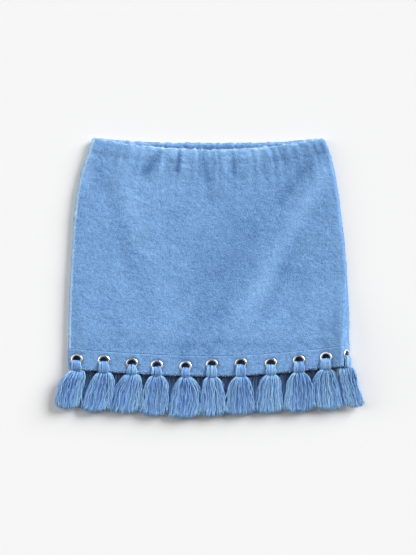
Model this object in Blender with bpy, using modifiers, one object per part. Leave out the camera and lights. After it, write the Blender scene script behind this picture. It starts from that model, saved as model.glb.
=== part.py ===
"""A pull-on skirt in terry towelling, laid flat, with eyelets and yarn tassels round its hem.

X runs across the skirt, Y from hem to waist and Z up from the surface that it lies on.
Sizes are in millimetres, and each mesh is written in metres.
The front panel goes round both side folds, and the back panel lies flat between them.
"""
import math

import bmesh
import bpy
from mathutils import Matrix, Vector

MM = 0.001

# Outline of the flat skirt: left and right side at some distances from its middle.
# columns: y, left x, right x
SIDES = (
    (168.2, -140.4, 136.8),
    (160.0, -144.0, 140.4),
    (146.0, -147.6, 145.2),
    (126.6, -154.8, 149.4),
    (107.4, -158.4, 153.0),
    (69.0, -163.6, 157.8),
    (21.0, -166.4, 163.2),
    (-27.0, -168.2, 165.4),
    (-86.5, -170.0, 167.8),
)
FRONT_WAIST_Y = 154.0     # the front waist edge dips below the back one
FRONT_WAIST_RISE = 14.0
BACK_WAIST_Y = 161.4
BACK_WAIST_RISE = 6.6
WAIST_HALF = 139.0
HEM_MIDDLE_Y = -118.5
HEM_RISE_LEFT, HEM_LEFT_X = 7.5, -151.0
HEM_RISE_RIGHT, HEM_RIGHT_X = 13.5, 168.0

# Cloth
CASING = 3.2              # turned over with the elastic inside
BAND = 24.0               # height of the hem band
BAND_WALL = 2.8           # the band is double
BAND_PROUD = 0.4          # the band stands this much proud of the panel
SEAM = 0.3                # gap between pieces that are sewn together
GATHERS = 22              # gathers across the front, and across the back
SEAM_LEAD = 2.0           # how far the front goes under the skirt past its fold
FOLD_STEPS = 3            # faces along each part of the right fold
LEFT_FOLD_STEPS = 5
EDGE_SHARE = 0.12         # share of the width over which the front sinks from its folds
WAIST_WAVE = 0.7          # how far the gathers push the waist edge in and out

# Front panel from waist to hem band.
# columns: share of the length, height of the middle, height at the folds, gather depth, wall
FRONT_ROWS = (
    (0.000, 8.8, 9.2, 0.80, 3.2),
    (0.018, 9.3, 9.8, 1.10, 3.2),
    (0.042, 9.2, 9.8, 1.00, 3.2),
    (0.071, 7.5, 8.8, 0.60, 2.4),
    (0.095, 7.8, 8.8, 0.95, 2.0),
    (0.150, 6.6, 8.2, 0.50, 2.0),
    (0.240, 6.0, 8.0, 0.15, 2.0),
    (0.350, 5.9, 8.0, 0.00, 2.0),
    (0.470, 5.9, 8.0, 0.00, 2.0),
    (0.590, 5.9, 8.0, 0.00, 2.0),
    (0.710, 5.9, 8.0, 0.00, 2.0),
    (0.820, 5.9, 8.0, 0.00, 2.0),
    (0.910, 5.9, 8.0, 0.00, 2.0),
    (1.000, 5.9, 8.0, 0.00, 2.0),
)
# Back panel, whose underside is flat.
# columns: share of the length, wall in a hollow, wall on a gather
BACK_ROWS = (
    (0.000, 2.6, 3.8),
    (0.018, 2.8, 4.2),
    (0.042, 2.6, 4.0),
    (0.071, 2.1, 2.6),
    (0.095, 2.0, 3.1),
    (0.150, 2.0, 2.4),
    (0.240, 2.0, 2.0),
    (0.470, 2.0, 2.0),
    (0.590, 2.0, 2.0),
    (0.710, 2.0, 2.0),
    (0.820, 2.0, 2.0),
    (0.910, 2.0, 2.0),
    (1.000, 2.0, 2.0),
)
BACK_THICKEST = 4.2
HEM_BLEND = 0.62          # below this share of the length the panels rise to the hem band

# Creases of the front panel, as soft ridges (+) and troughs (-).
# columns: x and y at one end, x and y at the other, half width, height
CREASES = (
    (132.0, 133.0, 20.0, -71.0, 15.0, 1.3),
    (118.0, 110.0, 86.0, -32.0, 13.0, -0.9),
    (117.0, 144.0, 50.0, 0.0, 13.0, -0.8),
    (50.0, 0.0, 0.0, -80.0, 12.0, -0.9),
    (-104.0, 137.0, -72.0, 53.0, 14.0, 0.9),
    (-72.0, 53.0, -60.0, -55.0, 13.0, 1.0),
    (-124.0, 105.0, -100.0, -3.0, 11.0, -0.9),
    (-4.0, 150.0, -4.0, 84.0, 8.0, -0.7),
    (92.0, -71.0, 150.0, -70.0, 8.0, -0.8),
)

# Heights in the stack at the hem
BACK_BAND_Z = 3.6         # underside of the back band, above the back tassels
LOW_BAND_Z = 0.2          # and at its two ends
BACK_BAND_RISE = (-158.5, -152.2)
BACK_BAND_FALL = (148.0, 158.0)
FRONT_BAND_Z = 12.1       # top of the front band

# Eyelets
EYELET_RADIUS = 7.5
EYELET_HOLE = 4.8
EYELET_BARREL = 5.3
EYELET_SIDES = 12
CLOTH_HOLE = 6.0          # corner radius of the eight-sided hole in the band
SEAT = 7.8                # the band is flat this far from an eyelet's middle
RIGHT_TILT = 61.0         # the eyelet on the right fold faces this far to the right
RIGHT_SEAT = (163.8, 11.5)
RIGHT_LOWER_RADIUS, RIGHT_UPPER_RADIUS = 3.0, 3.5
SLOPE_AFTER_FOLD = 29.0
LEFT_TILT = -14.0
LEFT_SEAT = (-159.8, 10.3)
LEFT_RADIUS = 4.2
LAST_TILT = -12.0
LAST_SEAT = (139.2, 13.6)

# Tassels of the front, from the left.
# columns: eyelet x, eyelet y, right-hand edge of the tassel's foot, y of its foot
FRONT_TASSELS = (
    (-159.8, -99.0, -156.0, -157.6),
    (-127.2, -100.2, -120.0, -161.0),
    (-93.6, -103.8, -82.8, -162.2),
    (-63.6, -106.2, -51.6, -166.2),
    (-29.2, -107.4, -12.0, -168.6),
    (2.4, -105.0, 18.0, -166.8),
    (37.2, -103.8, 54.0, -164.4),
    (73.2, -103.8, 87.6, -162.6),
    (106.8, -100.2, 123.6, -161.6),
    (139.2, -96.6, 162.0, -158.6),
    (163.8, -93.0, 184.8, -155.4),
)
FIRST_FOOT_X = -184.8
BACK_EYELETS_X = (-144.5, -110.4, -78.6, -46.4, -13.4, 19.8, 55.2, 90.0, 125.0)
BACK_FOOT_HALF = 16.5
BACK_FOOT_SPREAD = 1.04   # the back tassels lean apart by this much
FRONT_FLARE_Z, FRONT_FOOT_Z = 10.9, 8.2
BACK_FLARE_Z, BACK_FOOT_Z = 4.4, 2.9
TASSEL_LENGTH = 45.0
HEAD = 3.5                # height of a tassel's tied head
HEAD_HALF_WIDTH = 6.2
HEAD_HALF_DEPTH = 3.0
HEAD_DROP = 0.9           # the head's middle lies this far below the band's outer face
FLARE = 6.0               # a tassel spreads over this length below its head
FLARE_HALF_WIDTH = 10.5
FLARE_HALF_DEPTH, FOOT_HALF_DEPTH = 2.6, 2.2
TIP_ROUND = 2.6           # the outer locks end this much higher than the middle ones
TIP_UNEVEN = 1.3
LOOP_REACH = 6.5          # the loop spans this far to each side at the hem edge
HEAD_GAP = 0.4            # from the hem edge to the tied head
FRONT_LOCKS, BACK_LOCKS = 6, 5    # locks side by side, in two layers
LOCK_GAP = 0.25

# A loop of yarn from the eyelet's hole round the hem edge and back.
# y is measured from the eyelet's middle, or from the hem edge where "from hem" is 1.
# columns: from hem, inner y, inner z, outer y, outer z, half width
LOOP = (
    (0, -3.4, -4.0, -0.7, -4.9, 2.4),
    (0, -3.4, 1.5, -0.7, 3.0, 2.4),
    (0, -8.0, 1.5, -7.6, 3.4, 5.4),
    (1, -0.4, 0.9, -0.6, 3.0, 6.2),
)
LOOP_BEHIND = (
    (1, -0.4, -3.4, -0.8, -4.9, 4.4),
    (0, -8.0, -4.0, -7.6, -5.3, 4.0),
)


def smooth(share):
    """Ease a share between 0 and 1."""
    share = min(max(share, 0.0), 1.0)
    return share * share * (3.0 - 2.0 * share)


def mix(a, b, share):
    return a + (b - a) * share


def read_table(table, value, column):
    """Read one column of a table whose first column rises or falls steadily."""
    rows = sorted(table)
    if value <= rows[0][0]:
        return rows[0][column]
    for low, high in zip(rows, rows[1:]):
        if value <= high[0]:
            return mix(low[column], high[column], (value - low[0]) / (high[0] - low[0]))
    return rows[-1][column]


def hem_y(x):
    """Lower edge of the hem band, which droops towards the middle."""
    if x < 0.0:
        return HEM_MIDDLE_Y + HEM_RISE_LEFT * (x / HEM_LEFT_X) ** 1.6
    return HEM_MIDDLE_Y + HEM_RISE_RIGHT * (x / HEM_RIGHT_X) ** 1.7


def front_waist_y(x):
    return FRONT_WAIST_Y + FRONT_WAIST_RISE * (x / WAIST_HALF) ** 2


def back_waist_y(x):
    return BACK_WAIST_Y + BACK_WAIST_RISE * abs(x / WAIST_HALF) ** 3


def facing(degrees):
    """Direction in the XZ plane that an arc faces, from +X towards +Z."""
    return Vector((math.cos(math.radians(degrees)), math.sin(math.radians(degrees))))


class Arc:
    """A round stretch of a section: its middle, radius, and the directions it faces."""

    def __init__(self, centre, radius, start, end):
        self.values = (centre[0], centre[1], radius, start, end)

    def points(self, steps, inset=0.0):
        x, z, radius, start, end = self.values
        centre = Vector((x, z))
        return [centre + facing(mix(start, end, i / steps)) * (radius - inset)
                for i in range(steps + 1)]

    def mixed(self, other, share):
        x, z, radius, start, end = (mix(a, b, share) for a, b in zip(self.values, other.values))
        return Arc((x, z), radius, start, end)


def hem_arcs():
    """The two folds of the front band: right lower, right upper and left."""
    normal = facing(90.0 - RIGHT_TILT)
    along = Vector((normal.y, -normal.x))
    seat = Vector(RIGHT_SEAT)
    lower = seat + along * SEAT - normal * RIGHT_LOWER_RADIUS
    upper = seat - along * SEAT - normal * RIGHT_UPPER_RADIUS
    left_normal = facing(90.0 - LEFT_TILT)
    left_along = Vector((left_normal.y, -left_normal.x))
    left = Vector(LEFT_SEAT) - left_along * (SEAT - 0.3) - left_normal * LEFT_RADIUS
    return (
        Arc(lower, RIGHT_LOWER_RADIUS, -90.0, 90.0 - RIGHT_TILT),
        Arc(upper, RIGHT_UPPER_RADIUS, 90.0 - RIGHT_TILT, 90.0 + SLOPE_AFTER_FOLD),
        Arc(left, LEFT_RADIUS, 90.0 - LEFT_TILT, 270.0),
    )


def body_arcs(y, height):
    """The same three arcs on the body of the skirt, where each fold is a half circle."""
    radius = height / 2.0
    left = (read_table(SIDES, y, 1) + radius, radius)
    right = (read_table(SIDES, y, 2) - radius, radius)
    return (
        Arc(right, radius, -90.0, -12.0),
        Arc(right, radius, 12.0, 90.0),
        Arc(left, radius, 90.0, 270.0),
    )


def hem_top(x):
    """Height of the front band between its folds."""
    slope = math.tan(math.radians(-LAST_TILT))
    half = SEAT * math.cos(math.radians(LAST_TILT))
    right_end = hem_arcs()[1].points(1)[-1]
    left_slope = math.tan(math.radians(-LEFT_TILT))
    left_start = hem_arcs()[2].points(1)[0]
    left_half = SEAT * math.cos(math.radians(LEFT_TILT))
    table = (
        (left_start.x, left_start.y),
        (LEFT_SEAT[0] + left_half, LEFT_SEAT[1] + left_half * left_slope),
        (LAST_SEAT[0] - half, LAST_SEAT[1] - half * slope),
        (LAST_SEAT[0] + half, LAST_SEAT[1] + half * slope),
        (right_end.x, right_end.y),
    )
    return read_table(table, x, 1)


def hem_underside(x):
    """Underside of the back band: low at the ends, raised over the back tassels."""
    table = (
        (BACK_BAND_RISE[0], LOW_BAND_Z),
        (BACK_BAND_RISE[1], BACK_BAND_Z),
        (BACK_BAND_FALL[0], BACK_BAND_Z),
        (BACK_BAND_FALL[1], LOW_BAND_Z),
    )
    return read_table(table, x, 1)


def crease_height(x, y):
    """Sum of the soft ridges and troughs at a point of the front."""
    total = 0.0
    for x0, y0, x1, y1, half_width, height in CREASES:
        along = Vector((x1 - x0, y1 - y0))
        offset = Vector((x - x0, y - y0))
        share = offset.dot(along) / along.length_squared
        nearest = along * min(max(share, 0.0), 1.0)
        total += height * math.exp(-((offset - nearest).length / half_width) ** 2)
    return total


def gather_wave(index):
    """Uneven rise and fall of the gathers: odd columns are crests, even ones hollows."""
    size = 0.78 + 0.22 * math.sin(1.9 * index) + 0.12 * math.sin(0.7 * index + 1.0)
    return size if index % 2 else -size


def gather_share(index, count):
    """Place of a gather's column across the panel, not quite even."""
    wander = 0.28 * math.sin(1.7 * index) if 0 < index < count else 0.0
    return (index + wander) / count


def waist_shift(wave, share):
    """How far a gather moves the cloth along the skirt, close to the waist edge."""
    return WAIST_WAVE * wave * max(0.0, 1.0 - share / 0.03)


def metres(point):
    return Vector(point) * MM


def add_sheet(name, rows, wall, material, shares=None, holes=()):
    """Make an open sheet from rows of points and give it its wall with Solidify.

    shares, where given, holds each point's share of the full wall.
    holes lists the (row, column) whose four faces are left out.
    """
    mesh = bmesh.new()
    layer = mesh.verts.layers.deform.verify()
    grid = []
    for i, row in enumerate(rows):
        grid.append([])
        for j, point in enumerate(row):
            vert = mesh.verts.new(metres(point))
            vert[layer][0] = shares[i][j] if shares else 1.0
            grid[-1].append(vert)
    opened = {(i - a, j - b) for i, j in holes for a in (0, 1) for b in (0, 1)}
    for i in range(len(rows) - 1):
        for j in range(len(rows[0]) - 1):
            if (i, j) not in opened:
                corners = (grid[i][j], grid[i][j + 1], grid[i + 1][j + 1], grid[i + 1][j])
                mesh.faces.new(corners)
    for i, j in holes:
        mesh.verts.remove(grid[i][j])
    data = bpy.data.meshes.new(name)
    mesh.to_mesh(data)
    mesh.free()
    sheet = add_object(name, data, material)
    sheet.vertex_groups.new(name="wall")
    solidify = sheet.modifiers.new("wall", "SOLIDIFY")
    solidify.thickness = wall * MM
    solidify.offset = -1.0
    solidify.use_even_offset = True
    if shares:
        solidify.vertex_group = "wall"
        solidify.thickness_vertex_group = 0.0
    return sheet


def add_object(name, data, material):
    piece = bpy.data.objects.new(name, data)
    data.materials.append(material)
    bpy.data.collections["skirt"].objects.link(piece)
    piece.parent = bpy.data.objects["skirt_origin"]
    return piece


def front_section(share, height, middle, hem_share):
    """Points of the front's section, from the seam under the right fold to the left one."""
    y = mix(SIDES[0][0], SIDES[-1][0], share)
    arcs = [body.mixed(hem, hem_share) for body, hem in zip(body_arcs(y, height), hem_arcs())]
    inset = BAND_PROUD * hem_share
    lower, upper = arcs[0].points(FOLD_STEPS, inset), arcs[1].points(FOLD_STEPS, inset)
    left = arcs[2].points(LEFT_FOLD_STEPS, inset)
    start, end = upper[-1], left[0]
    columns = 2 * GATHERS
    top = []
    for j in range(1, columns):
        part = gather_share(j, columns)
        x = mix(start.x, end.x, part)
        side = min(part, 1.0 - part)
        body_z = mix(height, middle, smooth(side / EDGE_SHARE))
        top.append(Vector((x, mix(body_z, hem_top(x) - inset, hem_share))))
    seam_right = lower[0] - Vector((SEAM_LEAD, 0.0))
    seam_left = left[-1] + Vector((SEAM_LEAD, 0.0))
    return [seam_right] + lower + upper + top + left + [seam_left]


def add_front_panel(material):
    sections = []
    for share, middle, height, _, _ in FRONT_ROWS:
        hem_share = smooth((share - HEM_BLEND) / (1.0 - HEM_BLEND))
        sections.append(front_section(share, height, middle, hem_share))
    first_top = 2 * (FOLD_STEPS + 1)
    last_top = first_top + 2 * GATHERS
    rows, shares = [], []
    for section, values in zip(sections, FRONT_ROWS):
        share, _, _, depth, wall = values
        hem_share = smooth((share - HEM_BLEND) / (1.0 - HEM_BLEND))
        row = []
        for j, point in enumerate(section):
            wave = gather_wave(j - first_top) if first_top < j < last_top else 0.0
            top_y = front_waist_y(sections[0][j].x)
            bottom_y = hem_y(sections[-1][j].x) + BAND + SEAM
            y = mix(top_y, bottom_y, share) + waist_shift(wave, share)
            z = point.y + depth * wave
            if first_top < j < last_top and share > 0.1:
                z += crease_height(point.x, y) * (1.0 - hem_share)
            row.append((point.x, y, z))
        rows.append(row)
        shares.append([wall / CASING] * len(row))
    add_sheet("front_panel", rows, CASING, material, shares)


def add_back_panel(material):
    columns = 2 * GATHERS
    rows, shares = [], []
    ends = []
    for share in (0.0, 1.0):
        section = front_section(share, FRONT_ROWS[-1 if share else 0][2], 6.0, share)
        ends.append((section[-1].x + SEAM, section[0].x - SEAM))
    for share, hollow, crest in BACK_ROWS:
        hem_share = smooth((share - HEM_BLEND) / (1.0 - HEM_BLEND))
        height = read_table(FRONT_ROWS, share, 2)
        section = front_section(share, height, 6.0, hem_share)
        left, right = section[-1].x + SEAM, section[0].x - SEAM
        row, walls = [], []
        for j in range(columns + 1):
            part = gather_share(j, columns)
            x = mix(left, right, part)
            top_y = back_waist_y(mix(*ends[0], part))
            bottom_y = hem_y(mix(*ends[1], part)) + BAND + SEAM
            wave = gather_wave(j + 3) if 0 < j < columns else -1.0
            y = mix(top_y, bottom_y, share) + waist_shift(wave, share)
            level_x = x if 1 < j < columns - 1 else left
            z = mix(0.0, hem_underside(level_x) + BAND_PROUD, hem_share)
            row.append((x, y, z))
            crest_share = 0.5 + 0.5 * max(-1.0, min(1.0, wave))
            walls.append(mix(hollow, crest, crest_share) / BACK_THICKEST)
        rows.append(row)
        shares.append(walls)
    add_sheet("back_panel", rows, BACK_THICKEST, material, shares)


def punch(rows, row_index, column, centre):
    """Move the eight points round one grid point to a circle round the eyelet's middle."""
    centre = Vector(centre)
    middle_row = rows[row_index]
    across = (Vector(middle_row[column + 1]) - Vector(middle_row[column - 1])).normalized()
    up = Vector((0.0, 1.0, 0.0))
    for a in (-1, 0, 1):
        for b in (-1, 0, 1):
            if a or b:
                direction = (across * b - up * a).normalized()
                rows[row_index + a][column + b] = tuple(centre + direction * CLOTH_HOLE)


def band_rows(section, eyelets):
    """Rows of a band that follows the hem, and the grid points that become its holes."""
    heights = (BAND, BAND / 2 + CLOTH_HOLE, BAND / 2, BAND / 2 - CLOTH_HOLE, 0.0)
    rows = [[(p.x, hem_y(p.x) + height, p.y) for p in section] for height in heights]
    holes = []
    for column, centre in eyelets:
        punch(rows, 2, column, centre)
        holes.append((2, column))
    return rows, holes


def front_eyelets():
    """Middle and tilt of each eyelet of the front and of the right fold."""
    places = []
    for x, y, _, _ in FRONT_TASSELS:
        z, tilt = FRONT_BAND_Z, 0.0
        if x == LEFT_SEAT[0]:
            z, tilt = LEFT_SEAT[1], LEFT_TILT
        elif x == LAST_SEAT[0]:
            z, tilt = LAST_SEAT[1], LAST_TILT
        elif x == RIGHT_SEAT[0]:
            z, tilt = RIGHT_SEAT[1], RIGHT_TILT
        places.append(((x, y, z), tilt))
    return places


def back_eyelets():
    return [((x, hem_y(x) + BAND / 2, BACK_BAND_Z), 180.0) for x in BACK_EYELETS_X]


def add_front_band(material):
    lower, upper, left = hem_arcs()
    places = front_eyelets()
    section = [lower.points(1)[0] - Vector((SEAM_LEAD, 0.0))] + lower.points(4)
    eyelets = []
    along = facing(-RIGHT_TILT)
    for offset in (CLOTH_HOLE, 0.0, -CLOTH_HOLE):
        section.append(Vector(RIGHT_SEAT) + along * offset)
    eyelets.append((len(section) - 2, places[-1][0]))
    section += upper.points(4)
    seat_half = SEAT * math.cos(math.radians(LAST_TILT))
    xs = [LAST_SEAT[0] + seat_half]
    middles = [place[0] for place in places[-2::-1]]
    for place, following in zip(middles, middles[1:] + [None]):
        eyelets.append((len(section) + len(xs) + 1, place))
        xs += [place[0] + CLOTH_HOLE, place[0], place[0] - CLOTH_HOLE]
        if place[0] == LAST_SEAT[0]:
            xs.append(LAST_SEAT[0] - seat_half)
        elif following and following[0] == LEFT_SEAT[0]:
            xs.append(LEFT_SEAT[0] + SEAT * math.cos(math.radians(LEFT_TILT)))
        elif following:
            xs.append((place[0] + following[0]) / 2.0)
    section += [Vector((x, hem_top(x))) for x in xs]
    section += left.points(6)
    section.append(left.points(1)[-1] + Vector((SEAM_LEAD, 0.0)))
    rows, holes = band_rows(section, eyelets)
    add_sheet("front_hem_band", rows, BAND_WALL, material, holes=holes)


def add_back_band(material):
    lower, _, left = hem_arcs()
    start = left.points(1)[-1].x + SEAM_LEAD + SEAM
    end = lower.points(1)[0].x - SEAM_LEAD - SEAM
    xs = [start, *BACK_BAND_RISE]
    eyelets = []
    places = [place for place, _ in back_eyelets()]
    for place, following in zip(places, places[1:] + [None]):
        eyelets.append((len(xs) + 1, place))
        xs += [place[0] - CLOTH_HOLE, place[0], place[0] + CLOTH_HOLE]
        xs.append((place[0] + following[0]) / 2.0 if following else BACK_BAND_FALL[0])
    xs += [BACK_BAND_FALL[1], end]
    section = [Vector((x, hem_underside(x))) for x in xs]
    rows, holes = band_rows(section, eyelets)
    add_sheet("back_hem_band", rows, BAND_WALL, material, holes=holes)


def place_on_band(piece, centre, tilt):
    """Put a piece at an eyelet: its own Z is the direction that the band faces there."""
    piece.location = metres(centre)
    piece.rotation_euler = (0.0, math.radians(tilt), 0.0)


def add_eyelet(name, centre, tilt, material):
    """Two rims and a barrel, turned from one profile, pressed through the band."""
    inner_face = -BAND_WALL - SEAM
    profile = (
        (EYELET_RADIUS, SEAM),
        (EYELET_BARREL, SEAM),
        (EYELET_BARREL, inner_face),
        (EYELET_RADIUS - 0.3, inner_face),
        (EYELET_HOLE, inner_face - 0.5),
        (EYELET_HOLE, SEAM + 0.2),
        (EYELET_RADIUS - 1.3, SEAM + 0.8),
    )
    mesh = bmesh.new()
    verts = [mesh.verts.new(metres((radius, 0.0, z))) for radius, z in profile]
    for a, b in zip(verts, verts[1:] + verts[:1]):
        mesh.edges.new((a, b))
    data = bpy.data.meshes.new(name)
    mesh.to_mesh(data)
    mesh.free()
    eyelet = add_object(name, data, material)
    screw = eyelet.modifiers.new("turn", "SCREW")
    screw.steps = EYELET_SIDES
    screw.render_steps = EYELET_SIDES
    screw.use_merge_vertices = True
    screw.merge_threshold = 0.00001
    screw.use_smooth_shade = True
    place_on_band(eyelet, centre, tilt)


def loop_points(drop):
    """Inner and outer points of the yarn loop, each with its half width."""
    stations = []
    for from_hem, inner_y, inner_z, outer_y, outer_z, half in LOOP + LOOP_BEHIND:
        base = -drop if from_hem else 0.0
        stations.append(((base + inner_y, inner_z), (base + outer_y, outer_z), half))
    return stations


def add_tassel(name, centre, tilt, foot, columns, material):
    """A loop through the eyelet, a tied head below the hem, and locks that hang from it.

    foot holds the lowest part's middle x, half width, y and middle z.
    """
    drop = centre[1] - min(hem_y(centre[0] + side) for side in (-LOOP_REACH, 0.0, LOOP_REACH))
    turn = Matrix.Rotation(math.radians(tilt), 3, "Y")
    mesh = bmesh.new()
    rings = []
    for (inner_y, inner_z), (outer_y, outer_z), half in loop_points(drop):
        corners = ((-half, inner_y, inner_z), (half, inner_y, inner_z),
                   (half, outer_y, outer_z), (-half, outer_y, outer_z))
        rings.append([mesh.verts.new(metres(corner)) for corner in corners])
    last = len(LOOP) - 1
    for i in range(len(rings)):
        if i == last:
            continue
        here, there = rings[i], rings[(i + 1) % len(rings)]
        for a in range(4):
            b = (a + 1) % 4
            mesh.faces.new((here[a], here[b], there[b], there[a]))
    root_y = -drop - HEAD_GAP - HEAD
    front_ring, back_ring = rings[last], rings[last + 1]
    grid = []
    for j in range(3):
        v = 1.0 - j
        grid.append([])
        for i in range(columns + 1):
            u = 2.0 * i / columns - 1.0
            point = (u * HEAD_HALF_WIDTH, root_y, -HEAD_DROP + v * HEAD_HALF_DEPTH)
            grid[-1].append(mesh.verts.new(metres(point)))
    mesh.faces.new((front_ring[3], front_ring[2]) + tuple(reversed(grid[0])))
    mesh.faces.new(tuple(grid[2]) + (back_ring[2], back_ring[3]))
    mesh.faces.new((front_ring[0], front_ring[1], back_ring[1], back_ring[0]))
    mesh.faces.new((front_ring[3], grid[0][0], grid[1][0], grid[2][0], back_ring[3],
                    back_ring[0], front_ring[0]))
    mesh.faces.new((front_ring[1], back_ring[1], back_ring[2], grid[2][-1], grid[1][-1],
                    grid[0][-1], front_ring[2]))
    add_locks(mesh, grid, columns, centre, turn, root_y, foot)
    bmesh.ops.recalc_face_normals(mesh, faces=mesh.faces)
    data = bpy.data.meshes.new(name)
    mesh.to_mesh(data)
    mesh.free()
    tassel = add_object(name, data, material)
    place_on_band(tassel, centre, tilt)


def add_locks(mesh, grid, columns, centre, turn, root_y, foot):
    """Fill the head's foot with one face for each lock and draw each one out to its tip."""
    foot_x, foot_half, foot_y, foot_z = foot
    root = Vector(centre) + turn @ Vector((0.0, root_y, -HEAD_DROP))
    flip = -1.0 if turn[2][2] < -0.5 else 1.0
    lean = FLARE / TASSEL_LENGTH
    flare_z = FRONT_FLARE_Z if flip > 0 else BACK_FLARE_Z
    # columns: middle x, y, middle z, half width, half depth
    stations = (
        (mix(root.x, foot_x, lean), root.y - FLARE, flare_z, FLARE_HALF_WIDTH,
         FLARE_HALF_DEPTH),
        (foot_x, foot_y, foot_z, foot_half, FOOT_HALF_DEPTH),
    )
    for j in range(2):
        for i in range(columns):
            corners = (grid[j][i], grid[j][i + 1], grid[j + 1][i + 1], grid[j + 1][i])
            lock = mesh.faces.new(corners)
            for k, (x, y, z, half_width, half_depth) in enumerate(stations):
                out = bmesh.ops.extrude_discrete_faces(mesh, faces=[lock])
                lock = out["faces"][0]
                uneven = TIP_UNEVEN * math.sin(2.1 * i + 3.7 * j + foot_x)
                edge = abs(2.0 * (i + 0.5) / columns - 1.0)
                lift = (TIP_ROUND * edge * edge + TIP_UNEVEN + uneven) if k else 0.0
                for vert, (a, b) in zip(lock.verts, ((0, 0), (1, 0), (1, 1), (0, 1))):
                    gap_x = LOCK_GAP if a == 0 else -LOCK_GAP
                    gap_z = -LOCK_GAP if b == 0 else LOCK_GAP
                    u = 2.0 * (i + a) / columns - 1.0
                    v = 1.0 - (j + b)
                    across = u * half_width + gap_x
                    deep = v * half_depth + gap_z
                    place = Vector((x + flip * across, y + lift, z + flip * deep))
                    vert.co = metres(turn.inverted() @ (place - Vector(centre)))


def add_tassels(material):
    left = FIRST_FOOT_X
    rows = zip(FRONT_TASSELS, front_eyelets())
    for number, ((_, _, right, foot_y), (centre, tilt)) in enumerate(rows, 1):
        half = (right - left) / 2.0 - LOCK_GAP
        foot = ((left + right) / 2.0, half, foot_y, FRONT_FOOT_Z)
        name = "tassel_front_%02d" % number if number < 11 else "tassel_side_01"
        add_tassel(name, centre, tilt, foot, FRONT_LOCKS, material)
        left = right
    for number, (centre, tilt) in enumerate(back_eyelets(), 1):
        foot_y = hem_y(centre[0]) - HEAD - TASSEL_LENGTH
        foot = (centre[0] * BACK_FOOT_SPREAD, BACK_FOOT_HALF, foot_y, BACK_FOOT_Z)
        add_tassel("tassel_back_%02d" % number, centre, tilt, foot, BACK_LOCKS, material)


def add_eyelets(material):
    for number, (centre, tilt) in enumerate(front_eyelets(), 1):
        name = "eyelet_front_%02d" % number if number < 11 else "eyelet_side_01"
        add_eyelet(name, centre, tilt, material)
    for number, (centre, tilt) in enumerate(back_eyelets(), 1):
        add_eyelet("eyelet_back_%02d" % number, centre, tilt, material)


def finish(name, colour, roughness, metallic=0.0):
    material = bpy.data.materials.new(name)
    material.use_nodes = True
    shader = material.node_tree.nodes["Principled BSDF"]
    shader.inputs["Base Color"].default_value = (*colour, 1.0)
    shader.inputs["Roughness"].default_value = roughness
    shader.inputs["Metallic"].default_value = metallic
    return material


def main():
    for thing in list(bpy.data.objects):
        bpy.data.objects.remove(thing, do_unlink=True)
    collection = bpy.data.collections.new("skirt")
    bpy.context.scene.collection.children.link(collection)
    collection.objects.link(bpy.data.objects.new("skirt_origin", None))
    towelling = finish("blue towelling", (0.17, 0.34, 0.62), 0.95)
    yarn = finish("blue yarn", (0.20, 0.37, 0.65), 0.80)
    nickel = finish("polished nickel", (0.76, 0.77, 0.79), 0.22, 1.0)
    add_front_panel(towelling)
    add_back_panel(towelling)
    add_front_band(towelling)
    add_back_band(towelling)
    add_eyelets(nickel)
    add_tassels(yarn)


main()
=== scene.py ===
# %% [markdown]
# # A terry towelling skirt with eyelets and tassels
# The skirt lies flat on a pale table and is seen from straight above. It is made of four cuts of
# looped towelling, twenty nickel eyelets and twenty tassels of soft yarn. The imported model holds
# the plain solids. This lesson dresses each of them: the cloth gets its pile, gathers and creases,
# the eyelets get polished rims, and every tassel is laid out strand by strand.

# %% Load the frame
import math

import bpy
import numpy as np
from mathutils import Matrix, Vector


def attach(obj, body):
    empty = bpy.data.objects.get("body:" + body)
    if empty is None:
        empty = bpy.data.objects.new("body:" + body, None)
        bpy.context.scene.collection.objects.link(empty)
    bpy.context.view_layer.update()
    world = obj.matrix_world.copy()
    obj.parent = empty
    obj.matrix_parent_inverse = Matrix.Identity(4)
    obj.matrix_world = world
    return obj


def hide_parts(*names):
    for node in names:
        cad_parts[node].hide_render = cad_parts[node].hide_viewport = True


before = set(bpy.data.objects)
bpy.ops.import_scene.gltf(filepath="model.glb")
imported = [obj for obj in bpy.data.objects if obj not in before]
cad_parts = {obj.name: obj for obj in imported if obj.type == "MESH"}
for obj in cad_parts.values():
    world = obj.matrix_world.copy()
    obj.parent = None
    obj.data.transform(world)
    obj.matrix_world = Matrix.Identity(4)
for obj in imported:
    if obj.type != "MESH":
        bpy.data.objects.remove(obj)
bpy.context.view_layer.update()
MM = 0.001

# %% [markdown]
# ## Shader maths that reads like maths
# A finish is a small calculation that Blender runs at every point of a surface. It could be drawn
# by hand in the node editor, but long chains are hard to read there. Here one class wraps a
# socket, so `1 - mask * 0.5` writes the Math nodes by itself. Colours never pass through those,
# because a Math node would turn them grey: they go through Mix nodes.

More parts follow.
